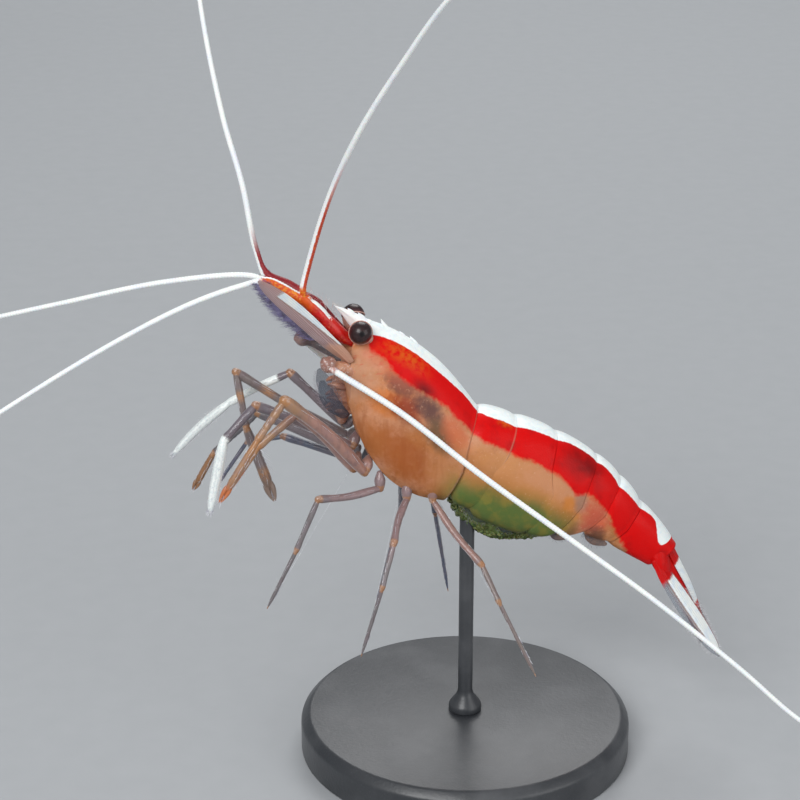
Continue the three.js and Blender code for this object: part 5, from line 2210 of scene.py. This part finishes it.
@dataclass
class Mouth:
    """The jaws under the head and the two thin leaves that hang before them."""

    jaws: tuple[Row, ...] = (
        (12.6, 0, -5.6, 0.9), (11.2, 0, -7.6, 1.1), (10.0, 0, -8.8, 0.9), (9.3, 0, -9.7, 0.4)
    )
    palps: tuple[Triple, ...] = ((11.9, 1.0, -6.6), (11.0, 0.9, -7.7), (10.2, 0.7, -8.6))
    leaf: Blade = Blade(
        ((9.7, 0.8, -8.8, 0.5), (11.4, 1.3, -8.6, 0.8), (13.0, 1.5, -8.0, 0.75), (14.0, 1.6, -7.4, 0.3)),
        tilt=75, thick=0.3, rib=0.04,
    )

    def build(self) -> None:
        """Makes the jaws, their palps and the leaves with their fringes."""
        flesh = Mottled("jaw_shell", (0.42, 0.2, 0.13), (0.26, 0.12, 0.09), (0.7, 0.5, 0.42)).build()
        clear = Film(
            "leaf_film", (0.12, 0.13, 0.17), (0.06, 0.075, 0.11), 2.0, clear=0.4, solid=0.55,
            rib=(0.22, 0.25, 0.32),
        ).build()
        brush = Brush("mouth_hairs")
        work = Workpiece("jaws")
        work.tube(stalk_course(self.jaws, 1), 28, 30)
        for side in Side:
            for step, (along, out, up) in enumerate(self.palps):
                rows = (
                    (along - 0.7, out * 0.6, up + 0.4, 0.34), (along + 0.2, out, up - 0.1, 0.36),
                    (along + 0.9, out * 0.9, up - 0.5, 0.26), (along + 1.2, out * 0.6, up - 0.9, 0.12),
                )
                course = stalk_course(rows, side.value, 32)
                work.tube(course, 14, 22)
                fringe(brush, course, (0, 1.5, 3.0), (0.5, 1.0), 10, 0.6, 0.5, 41 + step, 0.03)
        work.done(flesh, Slot.LIMB, ["mouthparts"])
        for side in Side:
            course = self.leaf.build(
                f"mouth_leaf_{side.word}", HEAD, side.value, clear, Slot.LIMB, ["mouthparts"]
            )
            fringe(brush, course, EDGES, (0.3, 1.0), 40, 0.7, 0.5, 45, 0.03)
        brush.done(Bristle("mouth_bristle", (0.1, 0.09, 0.13), (0.42, 0.36, 0.4)).build(), Slot.LIMB)


# Limbs


class End(Enum):
    """How a limb ends."""

    BRUSH = "a blunt white end set with bristles"
    CLAW = "a small pair of fingers"
    HOOK = "a sharp hooked toe"


# How thick a length is along it, as shares of its length and of half its thickness
END_SHAPES = {
    End.BRUSH: ((0, 0.75), (0.12, 0.98), (0.45, 1.0), (0.8, 0.8), (0.95, 0.5), (1, 0.28)),
    End.CLAW: ((0, 0.7), (0.15, 0.9), (0.55, 0.98), (0.72, 0.92), (0.8, 0.55), (0.84, 0.1), (1, 0.03)),
    End.HOOK: ((0, 0.75), (0.06, 0.95), (0.5, 0.82), (0.82, 0.72), (0.86, 0.62), (0.9, 0.5), (1, 0.1)),
}
ROOT_SHAPE = ((0, 0.7), (0.4, 1.1), (0.8, 0.95), (1, 0.75))
LENGTH_SHAPE = ((0, 0.72), (0.1, 0.9), (0.3, 1.0), (0.75, 0.86), (0.93, 0.96), (1, 0.8))


@dataclass
class Length:
    """One length of a limb: mm long, degrees outwards and upwards, mm thick, and its bow."""

    long: float
    heading: float
    rise: float
    thick: float
    bow: float = 0.0


@dataclass
class Limb:
    """A walking leg or a foot-jaw, from its root on the breast."""

    name: str
    root: Triple  # where it leaves the breast: along, out and up on the carapace
    lengths: tuple[Length, ...]  # its lengths, from the body outwards
    tint: LimbTint  # its finish
    end: End  # how it ends
    beads: int = 0  # how many short beads its third length is divided into
    plumes: int = 0  # how many long hairs fan out behind its hand

    @property
    def side(self) -> int:
        """The side's sign, told from the name."""
        return Side.LEFT.value if self.name.endswith("left") else Side.RIGHT.value

    def joints(self) -> list[Vector]:
        """The root and the end of each length.

        Returns:
            The points, from the breast outwards.
        """
        along, out, up = self.root
        spots = [HEAD.point(along, self.side * out, up)]
        for part in self.lengths:
            turn, climb = radians(part.heading), radians(part.rise)
            way = Vector((cos(turn) * cos(climb), self.side * sin(turn) * cos(climb), sin(climb)))
            spots.append(spots[-1] + way * part.long)
        return spots

    def build(self, finish: Material, brush: Brush) -> None:
        """Makes the limb, a closed skin for each length and its end, and plants its hairs.

        Args:
            finish: Its material.
            brush: Takes its hairs.
        """
        work = Workpiece(self.name + "_skin")
        joints = self.joints()
        walked = 0.0
        last = len(self.lengths) - 1
        for number, (part, start, finish_at) in enumerate(zip(self.lengths, joints, joints[1:])):
            way = (finish_at - start).normalized()
            bend = way.cross(Vector((0, 1, 0))).normalized() * part.bow * part.long
            points = [start - way * 0.06, start.lerp(finish_at, 0.5) + bend, finish_at + way * 0.04]
            half = part.thick / 2
            if number == last:
                rows = END_SHAPES[self.end]
            else:
                rows = LENGTH_SHAPE if number else ROOT_SHAPE
            wide = Profile(tuple((share, half * size) for share, size in rows))
            steps = max(40, round(part.long * 8))
            course = Course(points, wide, lambda share, w=wide: w(share) * 0.92, steps=steps)
            beads = self.beads if number == 2 else 0

            def relief(share: float, angle: float, beads: int = beads, half: float = half) -> float:
                """Beads, or a slight twist."""
                if not beads:
                    return -0.04 * half * cos(2 * angle + 3 * share)
                return -0.1 * half * abs(cos(pi * share * beads)) ** 8

            def paint(
                mm: float, angle: float, done: float = walked, length: float = course.length
            ) -> Triple:
                """What the limb's tint reads: along, nearness to a joint, facing up."""
                near = min(mm if done > 0.5 else 9.0, length - mm)
                return done + mm, 1 - ease(near, 0.1, 0.62), cos(angle)

            work.tube(course, 20, steps + 6, paint, relief=relief, caps=(0.9, 0.9))
            if number == last:
                self._finish_end(work, course, walked, brush)
            self._hairs(number, course, brush)
            walked += part.long
        work.done(finish, Slot.LIMB, [self.name])

    def _finish_end(self, work: Workpiece, course: Course, walked: float, brush: Brush) -> None:
        """Adds the second finger of a claw, or the small spines behind a hooked toe.

        Args:
            work: The limb's mesh.
            course: Its last length.
            walked: Millimetres of limb before that.
            brush: Takes its hairs.
        """
        chance = random.Random(len(self.name) + round(walked * 10))
        if self.end is End.CLAW:
            half = course.wide(0.6)
            _, ahead, _, up = course.centre(0.9)
            fingers = ((0.7, 0.25), (0.82, 0.52), (0.93, 0.4), (1.0, 0.16))
            for sign in (1, -1):
                points = [course.centre(share)[0] + up * sign * half * off for share, off in fingers]
                points[-1] += ahead * 0.12
                taper = Profile(((0, half * 0.35), (0.4, half * 0.48), (0.8, half * 0.28), (1, 0.03)))
                work.tube(Course(points, taper, steps=30), 14, 26, lambda mm, angle: (walked + 6, 0, 0))
            for _ in range(26):
                turn = chance.uniform(0, FULL_TURN)
                share = chance.uniform(0.86, 1.0)
                way = course.way_out(share, turn) * 0.5 + ahead
                brush.add(
                    course.surface(share, turn, -0.02), way, chance.uniform(0.35, 0.8),
                    (share, 0.5),
                )
        elif self.end is End.HOOK:
            for share in (0.45, 0.55, 0.65, 0.74, 0.82):
                way = course.way_out(share, pi) * 0.6 + course.centre(share)[1]
                brush.add(course.surface(share, pi, -0.03), way, 0.3, (share, 0.5), 0.06)

    def _hairs(self, number: int, course: Course, brush: Brush) -> None:
        """Plants the hairs of one length.

        Args:
            number: Which length, from 0.
            course: Its course.
            brush: Takes the hairs.
        """
        last = number == len(self.lengths) - 1
        if self.end is End.BRUSH and last:
            rows = (0.6, 1.2, 1.8, 2.4, -0.8, -1.6, -2.4)
            fringe(brush, course, rows, (0.1, 1.0), 46, 0.42, 0.4, 51, 0.03)
            fringe(brush, course, (0, 1, 2, 3, 4, 5), (0.94, 1.0), 9, 1.0, 0.8, 53, 0.035)
        elif self.end is End.BRUSH and number == 2:
            fringe(brush, course, (1.2, -1.6), (0.2, 1.0), 16, 0.35, 0.4, 55, 0.03)
        elif self.end is End.CLAW and last:
            fringe(brush, course, (0.5, 1.6, 2.8), (0.1, 0.8), 10, 0.5, 0.45, 57, 0.03)
            for step in range(self.plumes):
                share = 0.04 + 0.34 * step / self.plumes
                way = Vector((-1, 0.3, -0.35 - 0.07 * step))
                brush.add(course.centre(share)[0], way, 1.8 + 0.1 * step, (share, 0.5), 0.05)
        elif number:
            fringe(brush, course, (0.8, 3.6), (0.1, 0.95), 6, 0.22, 0.6, 59, 0.028)


def coxa(thick: float) -> Length:
    """The short first length that hangs from the breast."""
    return Length(1.4, 90, -80, thick)


def hip(thick: float) -> Length:
    """The short first length under the head, which leans out and forward."""
    return Length(1.4, 60, -40, thick)


PINK = (0.45, 0.24, 0.19)
JAW_LEFT = LimbTint("left_jaw_limb", (0.28, 0.18, 0.18), (0.17, 0.145, 0.17), white_start=16.35)
JAW_RIGHT = LimbTint("right_jaw_limb", (0.18, 0.145, 0.16), (0.17, 0.145, 0.165), white_start=10.3)
PINK_LIMB = LimbTint(
    "pink_limb", PINK, (0.42, 0.23, 0.12), (0.6, 0.18, 0.06), 11.0, 19.4, ambers=((19.6, 2.2),)
)
# Painted shade: the far claw leg is a darker, greyer copy of the near pink one, as it lies in the body's
# shadow.
SHADED_FAR_LIMB = LimbTint("shaded_far_limb", (0.19, 0.155, 0.17), (0.12, 0.12, 0.13), (0.32, 0.15, 0.06), 10.0, 18.0)
GREY_LIMB = LimbTint(
    "grey_limb", (0.25, 0.19, 0.185), (0.2, 0.16, 0.15), (0.3, 0.2, 0.15), 8.0, 26.0,
    ambers=((11.2, 1.3), (17.4, 0.9), (25.5, 1.1)),
)
LEG = LimbTint("clear_leg", (0.33, 0.22, 0.22), (0.19, 0.17, 0.175), turning=8.0)
HIND_LEG = LimbTint("hind_leg", (0.37, 0.21, 0.175), (0.23, 0.18, 0.16), turning=9.0)
# Painted shade: the far side's walking legs are darker, bluer copies of the near ones, as they lie in
# the body's shadow.
SHADED_FAR_LEG = LimbTint("shaded_far_leg", (0.09, 0.09, 0.125), (0.08, 0.1, 0.16), turning=6.0)

LIMBS = (
    Limb("maxilliped_left", (7.5, 0.6, -9.6), (
        hip(1.15), Length(10.6, 3.5, 28, 1.15, 0.02), Length(4.6, 24, -40, 1.0),
        Length(7.2, 33, -75, 1.18),
    ), JAW_LEFT, End.BRUSH),
    Limb("maxilliped_right", (8.6, 0.2, -9.0), (
        hip(1.1), Length(7.5, 18, 43, 1.1), Length(7.1, 11, -29, 0.92, 0.02),
        Length(7.9, 5, -44, 0.98, 0.03),
    ), JAW_RIGHT, End.BRUSH),
    Limb("pereiopod_1_left", (6.1, 1.2, -11.1), (
        hip(1.3), Length(8.7, 15, 50, 1.4, 0.03), Length(5.0, 9, -38, 0.92),
        Length(6.5, 4, -54, 0.84),
    ), replace(PINK_LIMB, name="pink_limb_short", tip_start=17.8, ambers=((16.2, 2.2),)), End.CLAW),
    Limb("pereiopod_1_right", (7.0, 1.5, -9.9), (
        hip(1.1), Length(13.5, -3, 34, 1.05, -0.02), Length(5.6, -117, -71, 0.85),
        Length(8.0, -167, -71, 1.2),
    ), GREY_LIMB, End.CLAW, plumes=12),
    Limb("pereiopod_2_left", (5.3, 2.0, -10.5), (
        hip(1.3), Length(12.8, 26, 47, 1.42, 0.03), Length(4.6, 20, -51, 0.92),
        Length(6.8, 15, -56, 0.86),
    ), replace(PINK_LIMB, tip_start=23.9), End.CLAW, 7),
    Limb("pereiopod_2_right", (5.7, 1.3, -11.1), (
        hip(1.1), Length(10.2, 14, 22, 1.1), Length(6.5, 13, -45, 0.8), Length(4.6, 13, -62, 0.8),
    ), SHADED_FAR_LIMB, End.CLAW, 10),
    Limb("pereiopod_3_left", (3.5, 2.4, -10.9), (
        coxa(1.1), Length(7.6, 32, 7, 0.9, -0.04), Length(5.5, 24, -63, 0.66),
        Length(7.0, -12, -65, 0.5),
    ), LEG, End.HOOK),
    Limb("pereiopod_3_right", (4.4, 2.3, -11.1), (
        coxa(1.1), Length(8.8, 17, 15, 0.9), Length(3.8, 16, -12, 0.65),
        Length(7.8, 13, -57, 0.5),
    ), SHADED_FAR_LEG, End.HOOK),
    Limb("pereiopod_4_left", (0.8, 2.7, -10.0), (
        coxa(1.05), Length(5.9, 70, -24, 0.88, 0.04), Length(4.5, 55, -58, 0.66),
        Length(7.5, 0, -74, 0.5),
    ), LEG, End.HOOK),
    Limb("pereiopod_4_right", (0.6, 2.5, -9.9), (
        coxa(1.05), Length(6.7, 95, -60, 0.88), Length(4.1, 48, -71, 0.66),
        Length(7.6, 16, -77, 0.5),
    ), SHADED_FAR_LEG, End.HOOK),
    Limb("pereiopod_5_left", (-1.3, 2.7, -8.5), (
        coxa(1.0), Length(8.1, 133, -39, 0.85, 0.03), Length(4.1, 119, -46, 0.66),
        Length(8.4, 157, -63, 0.5),
    ), HIND_LEG, End.HOOK),
    Limb("pereiopod_5_right", (-1.2, 2.5, -8.2), (
        coxa(1.0), Length(5.9, 101, -34, 0.85), Length(4.0, 124, -72, 0.66),
        Length(9.2, 180, -81, 0.5),
    ), SHADED_FAR_LEG, End.HOOK),
)


@dataclass
class Limbs:
    """All twelve limbs and their hairs."""

    limbs: tuple[Limb, ...] = LIMBS

    def build(self) -> None:
        """Makes every limb with its finish, then the hairs."""
        finishes: dict[str, Material] = {}
        brush = Brush("limb_hairs")
        for limb in self.limbs:
            if limb.tint.name not in finishes:
                finishes[limb.tint.name] = limb.tint.build()
            limb.build(finishes[limb.tint.name], brush)
        brush.done(Bristle("limb_bristle", (0.45, 0.44, 0.52), (0.85, 0.86, 0.88)).build(), Slot.LIMB)


# Stand and studio


@dataclass
class Stand:
    """The plain display stand: a turned base and one rod up to the brood."""

    paint: Material
    radius: float = 17.0  # the base's radius
    thick: float = 4.0  # the base's thickness
    chamfer: float = 0.8
    rod: float = 0.75  # the rod's radius
    collar: float = 1.7  # the collar's radius
    collar_height: float = 1.8
    top: float = 25.9  # the height of the rod's end
    eased: float = 0.22  # how far its sharp edges are softened

    def turned(
        self, name: str, outline: Sequence[tuple[float, float]], node: str, steps: int
    ) -> None:
        """A turned piece with eased edges.

        Args:
            name: Its name.
            outline: Its radius and height at each corner, from the axis round to the axis.
            node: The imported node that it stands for.
            steps: How many faces go round it.
        """
        work = Workpiece(name)
        verts = [work.bm.verts.new((radius, 0, height)) for radius, height in outline]
        edges = [work.bm.edges.new(pair) for pair in zip(verts, verts[1:])]
        bmesh.ops.spin(
            work.bm, geom=verts + edges, axis=(0, 0, 1), angle=FULL_TURN, steps=steps, use_merge=True
        )
        bmesh.ops.remove_doubles(work.bm, verts=work.bm.verts, dist=0.01)
        sharp = [
            edge for edge in work.bm.edges
            if len(edge.link_faces) == 2 and edge.calc_face_angle(0) > radians(24)
        ]
        bmesh.ops.bevel(
            work.bm, geom=sharp, offset=self.eased, affect="EDGES", segments=3, profile=0.5, material=-1
        )
        work.done(self.paint, Slot.STAND, [node])

    def build(self) -> None:
        """Makes the base and the rod."""
        base = (
            (0, 0), (self.radius, 0), (self.radius, self.thick - self.chamfer),
            (self.radius - self.chamfer, self.thick), (0, self.thick),
        )
        neck = self.thick + self.collar_height
        rod = (
            (0, self.thick), (self.collar, self.thick), (self.collar, self.thick + 0.7),
            (self.rod + 0.15, neck), (self.rod, neck + 0.5), (self.rod, self.top), (0, self.top),
        )
        self.turned("display_base", base, "stand_base", 96)
        self.turned("display_rod", rod, "stand_rod", 40)


@dataclass
class Studio:
    """The pale floor, the soft lights and the camera."""

    azimuth: float = -6.5  # degrees that the camera stands round from the side
    elevation: float = 22.0
    lens: float = 105.0  # its focal length
    reach: float = 228.67  # its distance from what it looks at, in mm
    aim: Triple = (-6.79, 0.0, 38.88)  # what it looks at

    def floor(self) -> None:
        """A wide sheet that curves up behind into a backdrop."""
        bm = bmesh.new()
        verts = bmesh.ops.create_grid(bm, x_segments=2, y_segments=60, size=0.5)["verts"]
        for vert in verts:
            run = (vert.co.y + 0.5) * 2.4 - 0.9
            bend = max(0.0, run - 0.35)
            turn = min(bend / 0.3, pi / 2)
            rise = 0.3 * (1 - cos(turn)) + max(0.0, bend - 0.3 * pi / 2)
            vert.co = (vert.co.x * 4.0, min(run, 0.35) + 0.3 * sin(turn), rise)
        bmesh.ops.recalc_face_normals(bm, faces=bm.faces)
        for face in bm.faces:
            face.smooth = True
        mesh = bpy.data.meshes.new("studio_floor")
        bm.to_mesh(mesh)
        bm.free()
        floor = bpy.data.objects.new("studio_floor", mesh)
        bpy.context.scene.collection.objects.link(floor)
        recipe = Recipe("studio_paper")
        grain = recipe.cloud(3.0, 3)
        recipe.colour = recipe.tint(grain, (0.38, 0.395, 0.41), (0.41, 0.425, 0.44))
        mesh.materials.append(recipe.finish(Roughness=0.9))
        floor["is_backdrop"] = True

    def lamp(self, name: str, at: Sequence[float], size: float, watts: float) -> None:
        """A soft square light turned to the model.

        Args:
            name: Its name.
            at: Where it stands, in metres.
            size: Its width in metres.
            watts: Its power.
        """
        data = bpy.data.lights.new(name, "AREA")
        data.size = size
        data.energy = watts
        lamp = bpy.data.objects.new(name, data)
        lamp.location = at
        lamp.rotation_euler = (Vector(self.aim) * MM - Vector(at)).to_track_quat("-Z", "Y").to_euler()
        bpy.context.scene.collection.objects.link(lamp)

    def camera(self) -> None:
        """The camera, turned to the model's middle."""
        turn, climb = radians(self.azimuth), radians(self.elevation)
        back = Vector((sin(turn) * cos(climb), -cos(turn) * cos(climb), sin(climb)))
        data = bpy.data.cameras.new("studio_camera")
        data.lens = self.lens
        data.sensor_width = 36.0
        data.clip_start, data.clip_end = 0.01, 20.0
        camera = bpy.data.objects.new("studio_camera", data)
        camera.location = (Vector(self.aim) + back * self.reach) * MM
        camera.rotation_euler = (-back).to_track_quat("-Z", "Y").to_euler()
        bpy.context.scene.collection.objects.link(camera)
        bpy.context.scene.camera = camera

    def build(self) -> None:
        """Sets up everything round the model."""
        self.floor()
        self.lamp("key_light", (-0.28, -0.42, 0.42), 0.35, 3.0)
        self.lamp("fill_light", (0.4, -0.35, 0.2), 0.4, 0.9)
        self.lamp("rim_light", (0.1, 0.4, 0.45), 0.35, 1.5)
        world = bpy.data.worlds.new("studio_world")
        world.use_nodes = True
        sky = world.node_tree.nodes["Background"]
        sky.inputs["Color"].default_value = (0.93, 0.96, 1.0, 1.0)
        sky.inputs["Strength"].default_value = 0.34
        bpy.context.scene.world = world
        bpy.context.scene.view_settings.view_transform = "Standard"
        self.camera()


def main() -> None:
    """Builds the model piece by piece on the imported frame, then the studio round it."""
    logging.basicConfig(level=logging.INFO, format="%(name)s: %(message)s", stream=sys.stdout)
    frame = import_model()
    solid_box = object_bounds()
    log.info("frame loaded: %d nodes", len(frame["nodes"]))
    livery = Livery().build()
    Carapace(livery, Enamel("beak_enamel").build()).build()
    Abdomen(livery).build()
    TailFan().build()
    Brood().build()
    Eyes().build()
    Feelers().build()
    Mouth().build()
    Limbs().build()
    Stand(StandPaint().build()).build()
    Studio().build()
    boxes = {"solids": solid_box, "model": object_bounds()}
    {name: [list(corner) for corner in box] for name, box in boxes.items()}


if __name__ == "__main__":
    main()
